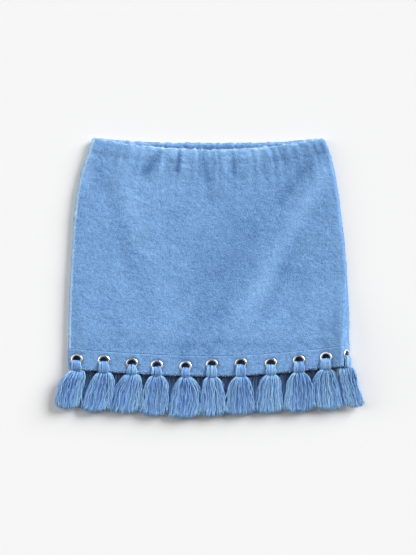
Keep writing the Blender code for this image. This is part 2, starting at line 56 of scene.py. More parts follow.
# %% A socket that can be added, subtracted and multiplied
class Wire:
    """A node's output, with Python's operators standing for Math nodes."""

    def __init__(self, tree, socket):
        self.tree = tree
        self.socket = socket

    def node(self, kind, settings=None, sockets=None, output=0):
        """Add a node: its settings come first, then the values or wires of its sockets."""
        made = self.tree.nodes.new(kind)
        for name, value in (settings or {}).items():
            setattr(made, name, value)
        for name, value in (sockets or {}).items():
            if isinstance(value, Wire):
                self.tree.links.new(value.socket, made.inputs[name])
            else:
                made.inputs[name].default_value = value
        return Wire(self.tree, made.outputs[output])

    def maths(self, operation, first, second):
        return self.node("ShaderNodeMath", {"operation": operation}, {0: first, 1: second})

    def __add__(self, other):
        return self.maths("ADD", self, other)

    __radd__ = __add__

    def __sub__(self, other):
        return self.maths("SUBTRACT", self, other)

    def __rsub__(self, other):
        return self.maths("SUBTRACT", other, self)

    def __mul__(self, other):
        return self.maths("MULTIPLY", self, other)

    __rmul__ = __mul__

    def clamped(self, low, high):
        """Bring a value that runs from low to high to the range from 0 to 1."""
        sockets = {"Value": self, "From Min": low, "From Max": high}
        return self.node("ShaderNodeMapRange", {"clamp": True}, sockets)


def new_finish(name):
    """Start a material and hand back its shader and a wire with the object's own coordinates."""
    material = bpy.data.materials.new(name)
    material.use_nodes = True
    shader = material.node_tree.nodes["Principled BSDF"]
    place = material.node_tree.nodes.new("ShaderNodeTexCoord")
    return material, shader, Wire(material.node_tree, place.outputs["Object"])


def feed(shader, wire, name):
    wire.tree.links.new(wire.socket, shader.inputs[name])


def set_plain(shader, **numbers):
    """Set inputs that stay the same all over; an underscore stands for a space in their names."""
    for name, value in numbers.items():
        shader.inputs[name.replace("_", " ")].default_value = value


def grain(place, per_metre, detail, roughness, stretch=None):
    """Noise with a number of spots for each metre, stretched along an axis where that is given."""
    if stretch:
        place = place.node("ShaderNodeMapping", None, {"Vector": place, "Scale": stretch})
    sockets = {"Vector": place, "Scale": per_metre, "Detail": detail, "Roughness": roughness}
    return place.node("ShaderNodeTexNoise", None, sockets)


def blend(amount, first, second):
    """Mix two colours, or a wire of one, by an amount from 0 to 1."""
    settings = {"data_type": "RGBA", "blend_type": "MIX"}
    sockets = {"Factor": amount, 6: first, 7: second}
    return amount.node("ShaderNodeMix", settings, sockets, 2)


def bump(height, distance, strength, under=None):
    sockets = {"Height": height, "Distance": distance, "Strength": strength}
    if under:
        sockets["Normal"] = under
    return height.node("ShaderNodeBump", None, sockets)


print("shader helpers ready")

# %% [markdown]
# ## The towelling
# Terry is woven with two warps: one stays tight, and the other stands up in loops about a
# millimetre high. From a step away the loops read as a soft grain with darker pits between them.
# Noises the size of a loop and of a clump tilt the surface and paint shade into the pits, and two
# broader ones cloud the blue. A value kept at each point paints light and shade into the colour:
# lighter or darker where folds and gathers catch or lose the light, pale highlights along the edges
# and the left fold, and dark shade on the inside of the skirt. Sheen gives the velvety look, and it
# is set as a plain number.

# %% Mix the blue of the cloth and its pile
CLOTH_LIGHT = (0.268, 0.498, 0.846, 1.0)
CLOTH_DARK = (0.083, 0.191, 0.416, 1.0)
LOOPS_PER_METRE = 640.0
CLUMPS_PER_METRE = 230.0
TUFTS_PER_METRE = 95.0
CLOUDS_PER_METRE = 22.0
# painted highlight along the edges
CLOTH_RIM_HIGHLIGHT = (0.550, 0.790, 1.000, 1.0)
# painted highlight on the steep side of the left fold
CLOTH_FOLD_HIGHLIGHT = (0.680, 0.860, 1.000, 1.0)
# painted shade on the inside of the skirt
CLOTH_INSIDE_SHADE = (0.045, 0.066, 0.115, 1.0)
PAINTED_SHADING_STRENGTH = 0.19
# the painted shading at which each of these three colours starts to show, and that at which it is
# full
PAINTED_RIM_RANGE = (1.8, 3.2)
PAINTED_FOLD_RANGE = (3.2, 4.6)
PAINTED_INSIDE_RANGE = (-2.5, -5.0)
SHEEN_TINT = (0.60, 0.80, 1.0, 1.0)


def towelling(name):
    material, shader, place = new_finish(name)
    # painted light and shade kept at each point: folds, gathers, edges and the inside
    painted_shading = place.node("ShaderNodeAttribute", {"attribute_name": "painted_shading_and_tone"}, None, 2)
    loops = grain(place, LOOPS_PER_METRE, 2.5, 0.6)
    clumps = grain(place, CLUMPS_PER_METRE, 2.0, 0.55)
    tufts = grain(place, TUFTS_PER_METRE, 2.0, 0.5)
    clouds = grain(place, CLOUDS_PER_METRE, 2.0, 0.5)
    # the loops' noise is the pile's grain, and it paints shade into the pits between the loops
    pile_grain_and_shade = loops.clamped(0.30, 0.68) * 0.80 + clumps.clamped(0.32, 0.68) * 0.20
    broad = tufts.clamped(0.3, 0.7) * 0.55 + clouds.clamped(0.3, 0.7) * 0.45
    shade = pile_grain_and_shade * 0.74 + broad * 0.22 + painted_shading * PAINTED_SHADING_STRENGTH
    body = blend(shade.clamped(0.0, 1.0), CLOTH_DARK, CLOTH_LIGHT)
    body = blend(painted_shading.clamped(*PAINTED_RIM_RANGE), body, CLOTH_RIM_HIGHLIGHT)
    body = blend(painted_shading.clamped(*PAINTED_FOLD_RANGE), body, CLOTH_FOLD_HIGHLIGHT)
    feed(shader, blend(painted_shading.clamped(*PAINTED_INSIDE_RANGE), body, CLOTH_INSIDE_SHADE), "Base Color")
    soft = bump(clumps, 0.0011, 0.35)
    feed(shader, bump(loops, 0.0010, 0.82, soft), "Normal")
    set_plain(shader, Roughness=0.95, Specular_IOR_Level=0.15, Sheen_Weight=0.55,
              Sheen_Roughness=0.35, Sheen_Tint=SHEEN_TINT)
    return material


cloth_finish = towelling("blue terry towelling")
print("finish:", cloth_finish.name)

# %% [markdown]
# ## The yarn of the tassels
# The tassels are a smoother, slightly paler yarn. Each strand is modelled and carries two values:
# its tone, since no two yarns take the dye alike, to which painted light and shade are added, and
# how deep it lies in the shade under the hem, where the finish paints a dark shade. The finish
# reads both. Noises stretched along the tassels vary the blue along a strand and draw the fine
# lines of its twist.

# %% Mix the blue of the yarn
YARN_LIGHT = (0.410, 0.700, 1.000, 1.0)
YARN_DARK = (0.163, 0.362, 0.815, 1.0)
YARN_PAINTED_SHADE = (0.060, 0.100, 0.200, 1.0)


def soft_yarn(name, light=YARN_LIGHT, dark=YARN_DARK):
    material, shader, place = new_finish(name)
    strands = grain(place, 900.0, 2.0, 0.5, (1.0, 0.10, 1.0))
    twist = grain(place, 1900.0, 1.0, 0.5, (1.0, 0.5, 1.0))
    tone_and_painted_light = place.node("ShaderNodeAttribute", {"attribute_name": "painted_shading_and_tone"}, None, 2)
    deep = place.node("ShaderNodeAttribute", {"attribute_name": "deep"}, None, 2)
    shade = strands.clamped(0.25, 0.66) + tone_and_painted_light * 0.22 + 0.05
    body = blend(shade.clamped(0.0, 1.0), dark, light)
    # yarn deep under the hem is painted with shade
    feed(shader, blend(deep.clamped(0.0, 1.0), body, YARN_PAINTED_SHADE), "Base Color")
    feed(shader, bump(twist, 0.0003, 0.5), "Normal")
    set_plain(shader, Roughness=0.72, Specular_IOR_Level=0.25, Sheen_Weight=0.22,
              Sheen_Roughness=0.35, Sheen_Tint=SHEEN_TINT)
    return material


yarn_finish = soft_yarn("blue yarn")
print("finish:", yarn_finish.name)

# %% [markdown]
# ## The nickel of the eyelets
# Garment eyelets are pressed brass with a bright nickel plate. They are nearly mirrors, with a
# little haze from handling and fine scuffs. The plate is warmer and duller on some eyelets than on
# others, so one noise is so broad that it changes from one eyelet to the next.

# %% Polish the nickel
NICKEL_BRIGHT = (0.94, 0.94, 0.95, 1.0)
NICKEL_SCUFFED = (0.84, 0.84, 0.86, 1.0)
NICKEL_DULL = (0.66, 0.60, 0.55, 1.0)


def nickel_plate(name):
    material, shader, place = new_finish(name)
    haze = grain(place, 350.0, 3.0, 0.6)
    scuffs = grain(place, 2400.0, 2.0, 0.6, (1.0, 0.2, 1.0))
    dull = grain(place, 26.0, 1.0, 0.5)
    feed(shader, haze.clamped(0.35, 0.75) * 0.14 + 0.24, "Roughness")
    plate = blend(scuffs.clamped(0.45, 0.7), NICKEL_BRIGHT, NICKEL_SCUFFED)
    feed(shader, blend(dull.clamped(0.46, 0.62), plate, NICKEL_DULL), "Base Color")
    set_plain(shader, Metallic=1.0)
    return material


nickel_finish = nickel_plate("nickel plate")
print("finish:", nickel_finish.name)

# %% [markdown]
# ## The sizes of the skirt
# The cloth is drawn in millimetres as the flat skirt lies: X across, Y from hem to waist, Z up.
# These are the same driving sizes as the solids have, so the dressed cloth lies where they do.
# The front panel wraps round both side folds, and the back panel lies between them.

# %% Sizes of the outline, the folds and the hem
# columns: y, left x, right x
SIDES = (
    (168.2, -140.4, 136.8),
    (160.0, -144.0, 140.4),
    (146.0, -147.6, 145.2),
    (126.6, -154.8, 149.4),
    (107.4, -158.4, 153.0),
    (69.0, -163.6, 157.8),
    (21.0, -166.4, 163.2),
    (-27.0, -168.2, 165.4),
    (-86.5, -170.0, 167.8),
)
WAIST_HALF = 139.0
FRONT_WAIST_Y, FRONT_WAIST_RISE = 154.0, 14.0
BACK_WAIST_Y, BACK_WAIST_RISE = 161.4, 6.6
HEM_MIDDLE_Y = -118.5
HEM_RISE_LEFT, HEM_LEFT_X = 7.5, -151.0
HEM_RISE_RIGHT, HEM_RIGHT_X = 13.5, 168.0
BAND, BAND_WALL, BAND_PROUD, SEAM = 24.0, 2.8, 0.4, 0.3
GATHERS, SEAM_LEAD, HEM_BLEND = 22, 2.0, 0.62
# share of the length in which the gathers also make the waist edge uneven
GATHERED_EDGE = 0.03
# heights at which the level eyelets sit, and half the width of the flat seat of a tilted one
BACK_BAND_Z, FRONT_BAND_Z, SEAT = 3.6, 12.1, 7.8
# the three tilted eyelets: tilt in degrees, x and z of the seat, and the fold's radii beside it
RIGHT_TILT, RIGHT_SEAT, RIGHT_RADII = 61.0, (163.8, 11.5), (3.0, 3.5)
SLOPE_AFTER_FOLD = 29.0
LEFT_TILT, LEFT_SEAT, LEFT_RADIUS, LEFT_SEAT_TRIM = -14.0, (-159.8, 10.3), 4.2, 0.3
LAST_TILT, LAST_SEAT = -12.0, (139.2, 13.6)

# columns: share of the length, height of the middle, height at the folds, gather depth, wall
FRONT_ROWS = (
    (0.000, 8.8, 9.2, 0.80, 3.2),
    (0.018, 9.3, 9.8, 1.10, 3.2),
    (0.042, 9.2, 9.8, 1.00, 3.2),
    (0.071, 8.2, 8.8, 0.80, 2.4),
    (0.095, 7.8, 8.8, 0.95, 2.0),
    (0.150, 6.7, 8.2, 0.50, 2.0),
    (0.240, 6.0, 8.0, 0.15, 2.0),
    (0.350, 5.9, 8.0, 0.00, 2.0),
    (1.000, 5.9, 8.0, 0.00, 2.0),
)
# columns: share of the length, wall in a hollow, wall on a gather
BACK_ROWS = (
    (0.000, 2.6, 3.8),
    (0.018, 2.8, 4.2),
    (0.042, 2.6, 4.0),
    (0.071, 2.1, 2.6),
    (0.095, 2.0, 3.1),
    (0.150, 2.0, 2.4),
    (0.240, 2.0, 2.0),
    (1.000, 2.0, 2.0),
)
# columns: x and y at one end, x and y at the other, half width, height
CREASES = (
    (132, 133, 20, -71, 15, 1.3),
    (118, 110, 86, -32, 13, -0.9),
    (117, 144, 50, 0, 13, -0.8),
    (50, 0, 0, -80, 12, -0.9),
    (-104, 137, -72, 53, 14, 0.9),
    (-72, 53, -60, -55, 13, 1),
    (-124, 105, -100, -3, 11, -0.9),
    (-4, 150, -4, 84, 8, -0.7),
    (92, -71, 150, -70, 8, -0.8),
)


def table_column(table, value, column):
    """Read a column of a table at one value or an array of them."""
    rows = np.array(sorted(table))
    return np.interp(value, rows[:, 0], rows[:, column])


def held(share):
    return np.clip(share, 0.0, 1.0)


def smooth(share):
    share = held(share)
    return share * share * (3.0 - 2.0 * share)


def fading(distance, reach):
    """1 where the distance is 0, falling evenly to 0 at the reach."""
    return held(1.0 - distance / reach)


def inwards(part, reach):
    """0 at both ends of a part that runs from 0 to 1, rising evenly to 1 at the reach."""
    return held(np.minimum(part, 1.0 - part) / reach)


def mix(first, second, share):
    return first + (second - first) * share


def hem_y(x):
    """Lower edge of the hem band, which droops towards the middle."""
    x = np.asarray(x, dtype=float)
    left = HEM_RISE_LEFT * np.clip(x / HEM_LEFT_X, 0.0, None) ** 1.6
    right = HEM_RISE_RIGHT * np.clip(x / HEM_RIGHT_X, 0.0, None) ** 1.7
    return HEM_MIDDLE_Y + left + right


def front_waist_y(x):
    return FRONT_WAIST_Y + FRONT_WAIST_RISE * (x / WAIST_HALF) ** 2


def back_waist_y(x):
    return BACK_WAIST_Y + BACK_WAIST_RISE * np.abs(x / WAIST_HALF) ** 3


print("hem in the middle:", float(hem_y(0.0)), "at the right:", float(hem_y(168.0)))

# %% [markdown]
# ## Sections across the skirt
# A section is the line that the cloth follows round the flattened skirt, from the seam under the
# right fold, over the front, to the seam under the left fold. On the body each fold is half a
# circle. At the hem the right fold is held open by an eyelet that sits on it, so it has a flat
# facet there. Both are made of the same arcs, and a section between them mixes their values.

# %% Arcs and sections
def facing(degrees):
    """Directions in the XZ plane, measured from +X towards +Z."""
    turn = np.radians(degrees)
    return np.stack([np.cos(turn), np.sin(turn)], axis=-1)


def hem_arcs():
    """Middle x, z, radius, first and last direction: right lower, right upper and left fold."""
    normal, along = facing(90.0 - RIGHT_TILT), facing(-RIGHT_TILT)
    seat = np.array(RIGHT_SEAT)
    lower = seat + along * SEAT - normal * RIGHT_RADII[0]
    upper = seat - along * SEAT - normal * RIGHT_RADII[1]
    left = np.array(LEFT_SEAT) - facing(-LEFT_TILT) * (SEAT - LEFT_SEAT_TRIM)
    left = left - facing(90.0 - LEFT_TILT) * LEFT_RADIUS
    return np.array([
        (*lower, RIGHT_RADII[0], -90.0, 90.0 - RIGHT_TILT),
        (*upper, RIGHT_RADII[1], 90.0 - RIGHT_TILT, 90.0 + SLOPE_AFTER_FOLD),
        (*left, LEFT_RADIUS, 90.0 - LEFT_TILT, 270.0),
    ])


def body_arcs(y, height):
    radius = height / 2.0
    left = table_column(SIDES, y, 1) + radius
    right = table_column(SIDES, y, 2) - radius
    return np.array([
        (right, radius, radius, -90.0, -12.0),
        (right, radius, radius, 12.0, 90.0),
        (left, radius, radius, 90.0, 270.0),
    ])


def arc_line(arc, steps, inset):
    x, z, radius, first, last = arc
    return np.array((x, z)) + facing(np.linspace(first, last, steps + 1)) * (radius - inset)


def seat_ends(seat, tilt):
    """Left and right end of a tilted eyelet's flat seat."""
    half = SEAT * math.cos(math.radians(tilt))
    rise = half * math.tan(math.radians(-tilt))
    return (seat[0] - half, seat[1] - rise), (seat[0] + half, seat[1] + rise)


def hem_top(x):
    """Height of the front band between its folds."""
    arcs = hem_arcs()
    left_fold = tuple(arc_line(arcs[2], 1, 0.0)[0])
    right_fold = tuple(arc_line(arcs[1], 1, 0.0)[-1])
    left_seat, last_seat = seat_ends(LEFT_SEAT, LEFT_TILT), seat_ends(LAST_SEAT, LAST_TILT)
    return table_column((left_fold, left_seat[1], *last_seat, right_fold), x, 1)


def hem_underside(x):
    """Underside of the back band: low at the ends, raised over the back tassels."""
    table = ((-158.5, 0.2), (-152.2, BACK_BAND_Z), (148.0, BACK_BAND_Z), (158.0, 0.2))
    return table_column(table, x, 1)


RIGHT_FOLD_STEPS, LEFT_FOLD_STEPS, FACET_STEPS, TOP_STEPS = 7, 13, 12, 278


def section(share, height, middle, hem_share, across=TOP_STEPS, proud=BAND_PROUD):
    """A section as points, with each point's place across the top (or -1 on the folds)."""
    y = mix(SIDES[0][0], SIDES[-1][0], share)
    arcs = mix(body_arcs(y, height), hem_arcs(), hem_share)
    inset = proud * hem_share
    lower, upper = (arc_line(arc, RIGHT_FOLD_STEPS, inset) for arc in arcs[:2])
    left = arc_line(arcs[2], LEFT_FOLD_STEPS, inset)
    facet = mix(lower[-1], upper[0], np.linspace(0.0, 1.0, FACET_STEPS)[1:-1, None])
    part = np.linspace(0.0, 1.0, across + 1)[1:-1]
    x = mix(upper[-1][0], left[0][0], part)
    body_z = mix(height, middle, smooth(inwards(part, 0.12)))
    top = np.stack([x, mix(body_z, hem_top(x) - inset, hem_share)], axis=-1)
    lead = np.array((SEAM_LEAD, 0.0))
    points = np.concatenate([[lower[0] - lead, lower[0] - lead / 2.0], lower, facet, upper,
                             top, left, [left[-1] + lead / 2.0, left[-1] + lead]])
    first = 2 + len(lower) + len(facet) + len(upper)
    parts = np.full(len(points), -1.0)
    parts[first:first + len(part)] = part
    return points, parts


line = section(0.5, 8.0, 5.9, 0.0)[0]
print("points in a section:", len(line), "widest:", round(float(np.ptp(line[:, 0])), 1), "mm")

# %% [markdown]
# ## Gathers, creases and pile
# The elastic draws the waist into gathers that die away below the casing. They could be a
# simulation, but the photograph shows how many there are and how soft they lie, so they are a
# wave whose crests wander and vary a little. The creases are soft ridges and troughs, listed in a
# table. The pile is a noise that lifts the surface by fractions of a millimetre. A second table of
# strokes paints light and shade into the cloth's colour along the folds, creases and gathers.

# %% Waves, creases and noise
def gather_wave(part, start=0.0):
    """Height from -1 to 1 of the gathers at a place across the panel."""
    index = part * 2 * GATHERS
    index = index - 0.28 * np.sin(1.7 * index) + start
    size = 0.52 + 0.26 * np.sin(1.9 * index) + 0.20 * np.sin(0.7 * index + 1.0)
    return -np.cos(np.pi * index) * size


# Painted shading: strokes that lighten (+) or darken (-) the cloth where folds, creases and gathers
# catch or lose the light.
# columns: x and y at one end, x and y at the other, half width, strength
PAINTED_SHADING_STROKES = (
    (138, 126, 62, -8, 11, 1.1),
    (136, 130, 104, 64, 8, 0.7),
    (62, -8, 26, -60, 10, 0.5),
    (18, -60, 8, -76, 11, -0.6),
    (-147, 152, -151, 122, 9, 2.2),
    (-84, 155, 70, 155, 7, 1.3),
    (-92, 150, 52, 145, 11, 1.3),
    (-104, 130, -93, 86, 12, 1.1),
    (-93, 86, -76, 30, 9, 0.9),
    (-76, 30, -52, -60, 9, 0.4),
    (-96, 108, -30, 112, 28, 0.6),
    (76, 141, 112, 141, 8, -0.5),
    (118, 134, 84, 92, 8, -1.2),
    (137, 158, 137, 144, 7, -1.2),
    (66, 84, 46, 30, 12, -0.5),
    (36, 60, 4, -40, 22, -0.9),
    (-6, 20, -20, -60, 20, -0.4),
    (34, -8, 10, -42, 10, -0.7),
    (108, 75, 88, 10, 11, -0.9),
    (92, 10, 66, -44, 9, -0.9),
    (116, 0, 104, -50, 12, -0.6),
    (-134, 122, -107, 66, 8, -0.6),
    (-103, 46, -80, -36, 9, -0.4),
    (-130, -10, -104, -60, 20, -0.3),
    (-120, -80, 140, -80, 6, -0.6),
    (-30, -92, 0, -92, 12, -0.8),
    (142, -45, 154, -78, 12, 0.3),
    (-59, 153, -76, 127, 6, -2.8),
    (-35, 153, -40, 129, 4.2, -2.5),
    (-9, 153, -3, 118, 4.2, -2.3),
    (-3, 118, 0, 96, 4, -0.8),
    (33, 150, 28, 128, 4.8, -1.6),
    (8, 150, 9, 138, 3.2, -1.4),
    (-51, 152, -60, 128, 3.5, 1.5),
    (-26, 151, -29, 130, 4, 1.2),
    (18, 150, 18, 128, 6, 0.6),
)


def unit(vectors):
    return vectors / np.linalg.norm(vectors, axis=-1, keepdims=True)


def joined(x, y, z):
    """Points from arrays of their coordinates."""
    return np.stack([x, y, z], axis=-1)


def strokes(table, x, y):
    """Sum of soft strokes, each strongest along its line."""
    total = np.zeros_like(x)
    for x0, y0, x1, y1, half_width, height in table:
        along = np.array((x1 - x0, y1 - y0))
        share = ((x - x0) * along[0] + (y - y0) * along[1]) / (along @ along)
        share = held(share)
        distance = np.hypot(x - x0 - share * along[0], y - y0 - share * along[1])
        total += height * np.exp(-(distance / half_width) ** 2)
    return total


def lattice(cells, seed):
    """A repeatable random value from -1 to 1 for each whole-numbered cell."""
    primes = np.array((374761393, 668265263, 2147483647), dtype=np.int64)
    mixed = (cells.astype(np.int64) * primes).sum(axis=-1) + seed * 974634777
    mixed = (mixed ^ (mixed >> 13)) * 1274126177
    mixed = (mixed ^ (mixed >> 16)) & 0xFFFFFF
    return mixed / float(0x7FFFFF) - 1.0


def noise(points, size, seed):
    """Smooth noise from -1 to 1 whose spots are about size millimetres across."""
    scaled = points / size
    base = np.floor(scaled)
    part = scaled - base
    part = part * part * (3.0 - 2.0 * part)
    total = np.zeros(points.shape[:-1])
    for corner in np.ndindex(2, 2, 2):
        step = np.array(corner)
        weight = np.prod(np.where(step == 1, part, 1.0 - part), axis=-1)
        total += weight * lattice(base + step, seed)
    return total


def pile_height(points):
    """How far the loops stand up: clumps a few millimetres across, and finer ones."""
    return (0.30 * noise(points, 2.3, 1) + 0.20 * noise(points, 4.4, 2)
            + 0.30 * noise(points, 9.0, 3) + 0.42 * noise(points, 24.0, 4))


print("height of the long crease:", strokes(CREASES, np.array(76.0), np.array(31.0)))

# %% [markdown]
# ## A wall of cloth from a grid
# A sheet with no thickness looks like paper where it ends. Each panel is a closed wall instead: an
# outer grid, an inner grid, and rims that join the two. The front panel's inside never shows, so
# its inner grid is coarser, and each rim face there has one inner edge and several outer ones.

# %% Build closed walls
def add_object(name, data):
    """Put an object with this data into the scene."""
    made = bpy.data.objects.new(name, data)
    bpy.context.scene.collection.objects.link(made)
    return made


def add_piece(name, vertices, faces, material, replaced=()):
    """Make a mesh piece, given in millimetres, that rides on the skirt and replaces solids."""
    data = bpy.data.meshes.new(name)
    data.from_pydata((np.asarray(vertices) * MM).tolist(), [], faces)
    data.materials.append(material)
    data.polygons.foreach_set("use_smooth", [True] * len(data.polygons))
    data.update()
    piece = add_object(name, data)
    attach(piece, "root")
    if replaced:
        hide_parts(*replaced)
    return piece


def set_values(piece, name, values, rest=0.0):
    """Keep one value for each of a piece's first points, and the same for all the others."""
    filled = np.full(len(piece.data.vertices), rest, dtype=np.float32)
    filled[:len(values)] = values
    layer = piece.data.attributes.new(name, "FLOAT", "POINT")
    layer.data.foreach_set("value", filled)


def listed(*grids):
    """The points of some grids, one after another."""
    return np.concatenate([grid.reshape(-1, 3) for grid in grids])


def count_triangles(piece):
    return sum(len(face.vertices) - 2 for face in piece.data.polygons)


def ring_faces(near, far):
    """Faces between rings of point numbers and the rings beside them."""
    corners = (near, np.roll(near, -1, axis=-1), np.roll(far, -1, axis=-1), far)
    return np.stack(corners, axis=-1).reshape(-1, 4).tolist()


def grid_quads(rows, columns):
    i, j = np.meshgrid(np.arange(rows - 1), np.arange(columns - 1), indexing="ij")
    a = i * columns + j
    return np.stack([a, a + 1, a + columns + 1, a + columns], axis=-1)


def grid_normals(grid):
    return unit(np.cross(np.gradient(grid, axis=1), np.gradient(grid, axis=0)))


def wall_faces(rows, columns, keep=None):
    """Faces of an outer grid, an equal inner grid, and rims along every open edge."""
    quads = grid_quads(rows, columns)
    quads = quads.reshape(-1, 4) if keep is None else quads[keep]
    total = rows * columns
    start, end = quads.ravel(), np.roll(quads, -1, axis=1).ravel()
    open_edge = ~np.isin(start * total + end, end * total + start)
    a, b = start[open_edge], end[open_edge]
    rims = np.stack([b, a, a + total, b + total], axis=-1)
    return np.concatenate([quads, quads[:, ::-1] + total, rims]).tolist()


def stepped_wall_faces(rows, columns, step):
    """The same, with an inner grid that has every step-th row and column."""
    low_rows, low_columns = (rows - 1) // step + 1, (columns - 1) // step + 1
    fine = np.arange(rows * columns).reshape(rows, columns)
    low = np.arange(low_rows * low_columns).reshape(low_rows, low_columns) + rows * columns
    faces = grid_quads(rows, columns).reshape(-1, 4).tolist()
    faces += (grid_quads(low_rows, low_columns).reshape(-1, 4)[:, ::-1] + rows * columns).tolist()
    edges = ((fine[0], low[0]), (fine[:, -1], low[:, -1]),
             (fine[-1, ::-1], low[-1, ::-1]), (fine[::-1, 0], low[::-1, 0]))
    for outer, inner in edges:
        for k in range(len(inner) - 1):
            stretch = outer[k * step:(k + 1) * step + 1][::-1]
            faces.append([int(inner[k]), int(inner[k + 1]), *stretch.tolist()])
    return faces


print("a 3 by 3 grid gives", len(wall_faces(3, 3)), "faces")

# %% [markdown]
# ## The front panel
# The front is one cut from waist to hem band, with its top turned over the elastic. The turned
# edge is soft and round, and the stitches below the elastic pull a groove that puckers. The
# panel is built row by row from sections. Its waist edge is then rolled down, its seam raised to a
# low ridge, and all of it lifted by its pile. Pale highlights are painted along the waist edge and
# the steep side of the left fold.

# %% Make the front panel
STEP = 4
FRONT_GRID_ROWS = 52 * STEP + 1
GATHER_EASE = 0.80
STITCH_DEPTH = 18.0
STITCH_PITCH = 3.1
GROOVE_DEPTH, GROOVE_HALF = 0.3, 1.6
# reach of an edge's change of height, and how far it drops there
WAIST_ROLL = (4.0, 1.8)
SEAM_RIDGE = (3.0, -0.30)
# no cloth lies lower than this over the table
LOWEST = 0.02
# the painted highlight at the waist ends at this depth, and fades out over the second number
WAIST_RIM_DEPTH, WAIST_RIM_FADE = 3.3, 2.6
# left of this x the steep side of the fold gets a painted highlight, which fades in over the second
# number
LEFT_FOLD_X, LEFT_FOLD_FADE = -125.0, 8.0
# height of a section's middle where only its ends matter, and the front's gap to its band
MIDDLE_Z, BAND_GAP = 6.0, 0.05
PAINTED_SHADING_LIMITS = (-2.4, 1.7)


def edge_drop(distance, reach, drop):
    """How far an edge rolls down towards its rim, over a reach in millimetres."""
    return drop * fading(distance, reach) ** 2.2


def hem_blend(share):
    return smooth((share - HEM_BLEND) / (1.0 - HEM_BLEND))


def plain_section(share):
    """A section without gathers, at a share of the length."""
    height = table_column(FRONT_ROWS, share, 2)
    return section(share, height, MIDDLE_Z, hem_blend(share))[0]


def front_grid(total):
    """Points of the front, with their walls and their distances from the waist edge."""
    top_y = front_waist_y(plain_section(0.0)[:, 0])
    foot_y = hem_y(plain_section(1.0)[:, 0]) + BAND + BAND_GAP
    rows, walls, depths = [], [], []
    for share in np.linspace(0.0, 1.0, total):
        middle, height, depth, wall = (table_column(FRONT_ROWS, share, k) for k in (1, 2, 3, 4))
        points, part = section(share, height, middle, hem_blend(share))
        fade = inwards(part, 0.05)
        wave = GATHER_EASE * gather_wave(part) * fade
        uneven = 1.1 * wave + 1.0 * noise(joined(*[points[:, 0]] * 3), 6.0, 5)
        y = mix(top_y, foot_y, share) + uneven * fade * fading(share, GATHERED_EDGE)
        crease = strokes(CREASES, points[:, 0], y) * (1.0 - hem_blend(share))
        z = points[:, 1] + depth * wave + crease * fade * smooth((share - 0.05) / 0.1)
        rows.append(joined(points[:, 0], y, z))
        walls.append(np.full(len(y), wall))
        depths.append(top_y - y)
    return np.array(rows), np.array(walls), np.array(depths)


def add_front_panel():
    grid, walls, depths = front_grid(FRONT_GRID_ROWS)
    normals = grid_normals(grid)
    inner = (grid - normals * walls[..., None])[::STEP, ::STEP]
    pucker = 0.85 + 0.15 * np.cos(2.0 * np.pi * grid[..., 0] / STITCH_PITCH)
    groove = GROOVE_DEPTH * np.exp(-((depths - STITCH_DEPTH) / GROOVE_HALF) ** 2) * pucker
    length = grid[:1, :, 1] - grid[-1:, :, 1]
    roll = edge_drop(depths, *WAIST_ROLL) + edge_drop(length - depths, *SEAM_RIDGE)
    lift = pile_height(grid) - groove - roll
    outer = grid + normals * lift[..., None]
    outer[..., 2] = np.maximum(outer[..., 2], LOWEST)
    faces = stepped_wall_faces(*grid.shape[:2], STEP)
    panel = add_piece("front_cloth", listed(outer, inner), faces, cloth_finish,
                      ["front_panel"])
    # painted light and shade: the strokes, a painted highlight along the waist edge and on the left
    # fold's steep side, and painted shade on the inner grid
    painted_shading_and_tone = np.clip(strokes(PAINTED_SHADING_STROKES, grid[..., 0], grid[..., 1]), *PAINTED_SHADING_LIMITS)
    ragged = WAIST_RIM_DEPTH + 1.1 * noise(grid, 5.0, 8)
    painted_shading_and_tone = mix(painted_shading_and_tone, PAINTED_RIM_RANGE[1], 0.9 * smooth((ragged - depths) / WAIST_RIM_FADE))
    fold = smooth((0.995 - normals[..., 2]) / 0.10)
    fold *= smooth((LEFT_FOLD_X - grid[..., 0]) / LEFT_FOLD_FADE)
    painted_shading_and_tone = mix(painted_shading_and_tone, 4.2 + 0.8 * noise(grid, 3.0, 11), fold)
    set_values(panel, "painted_shading_and_tone", painted_shading_and_tone.ravel(), -4.0)
    return panel, grid, outer


front_panel, front_points, front_surface = add_front_panel()
print("front:", front_points.shape, count_triangles(front_panel), "triangles")

# %% [markdown]
# ## The back panel
# The back shows as a narrow strip of its inside above the front's waist edge, and its underside
# rests flat on the table. Its wall is thicker where a gather stands up. Its rows lie close together
# at the waist, where it shows, and further apart below.

# %% Make the back panel
BACK_COLUMNS, BACK_ROW_COUNT = 231, 96
BACK_ROLL = (2.6, 1.3)
# distances from the waist edge between which the back sinks behind the front's edge
SINK_STARTS, SINK_ENDS, SINK = 2.5, 24.0, 0.9


def back_x(share, part):
    """The back's x at a share of the length, between the two seams under the folds."""
    line = plain_section(share)
    return mix(line[-1, 0] + SEAM, line[0, 0] - SEAM, part)


def back_grid():
    """Points of the underside and of the upper side."""
    part = np.linspace(0.0, 1.0, BACK_COLUMNS)
    top_y = back_waist_y(back_x(0.0, part))
    foot_y = hem_y(back_x(1.0, part)) + BAND + SEAM
    fade = inwards(part, 0.02)
    wave = mix(-1.0, gather_wave(part, 3.0), fade)
    lower, upper = [], []
    for share in np.linspace(0.0, 1.0, BACK_ROW_COUNT) ** 1.5:
        x = back_x(share, part)
        y = mix(top_y, foot_y, share) + 0.7 * wave * fading(share, GATHERED_EDGE)
        z = mix(0.0, hem_underside(x) + BAND_PROUD, hem_blend(share))
        hollow, crest = (table_column(BACK_ROWS, share, k) for k in (1, 2))
        wall = mix(hollow, crest, 0.5 + 0.5 * np.clip(wave, -1.0, 1.0))
        lower.append(joined(x, y, z))
        upper.append(joined(x, y, z + wall))
    return np.array(lower), np.array(upper)


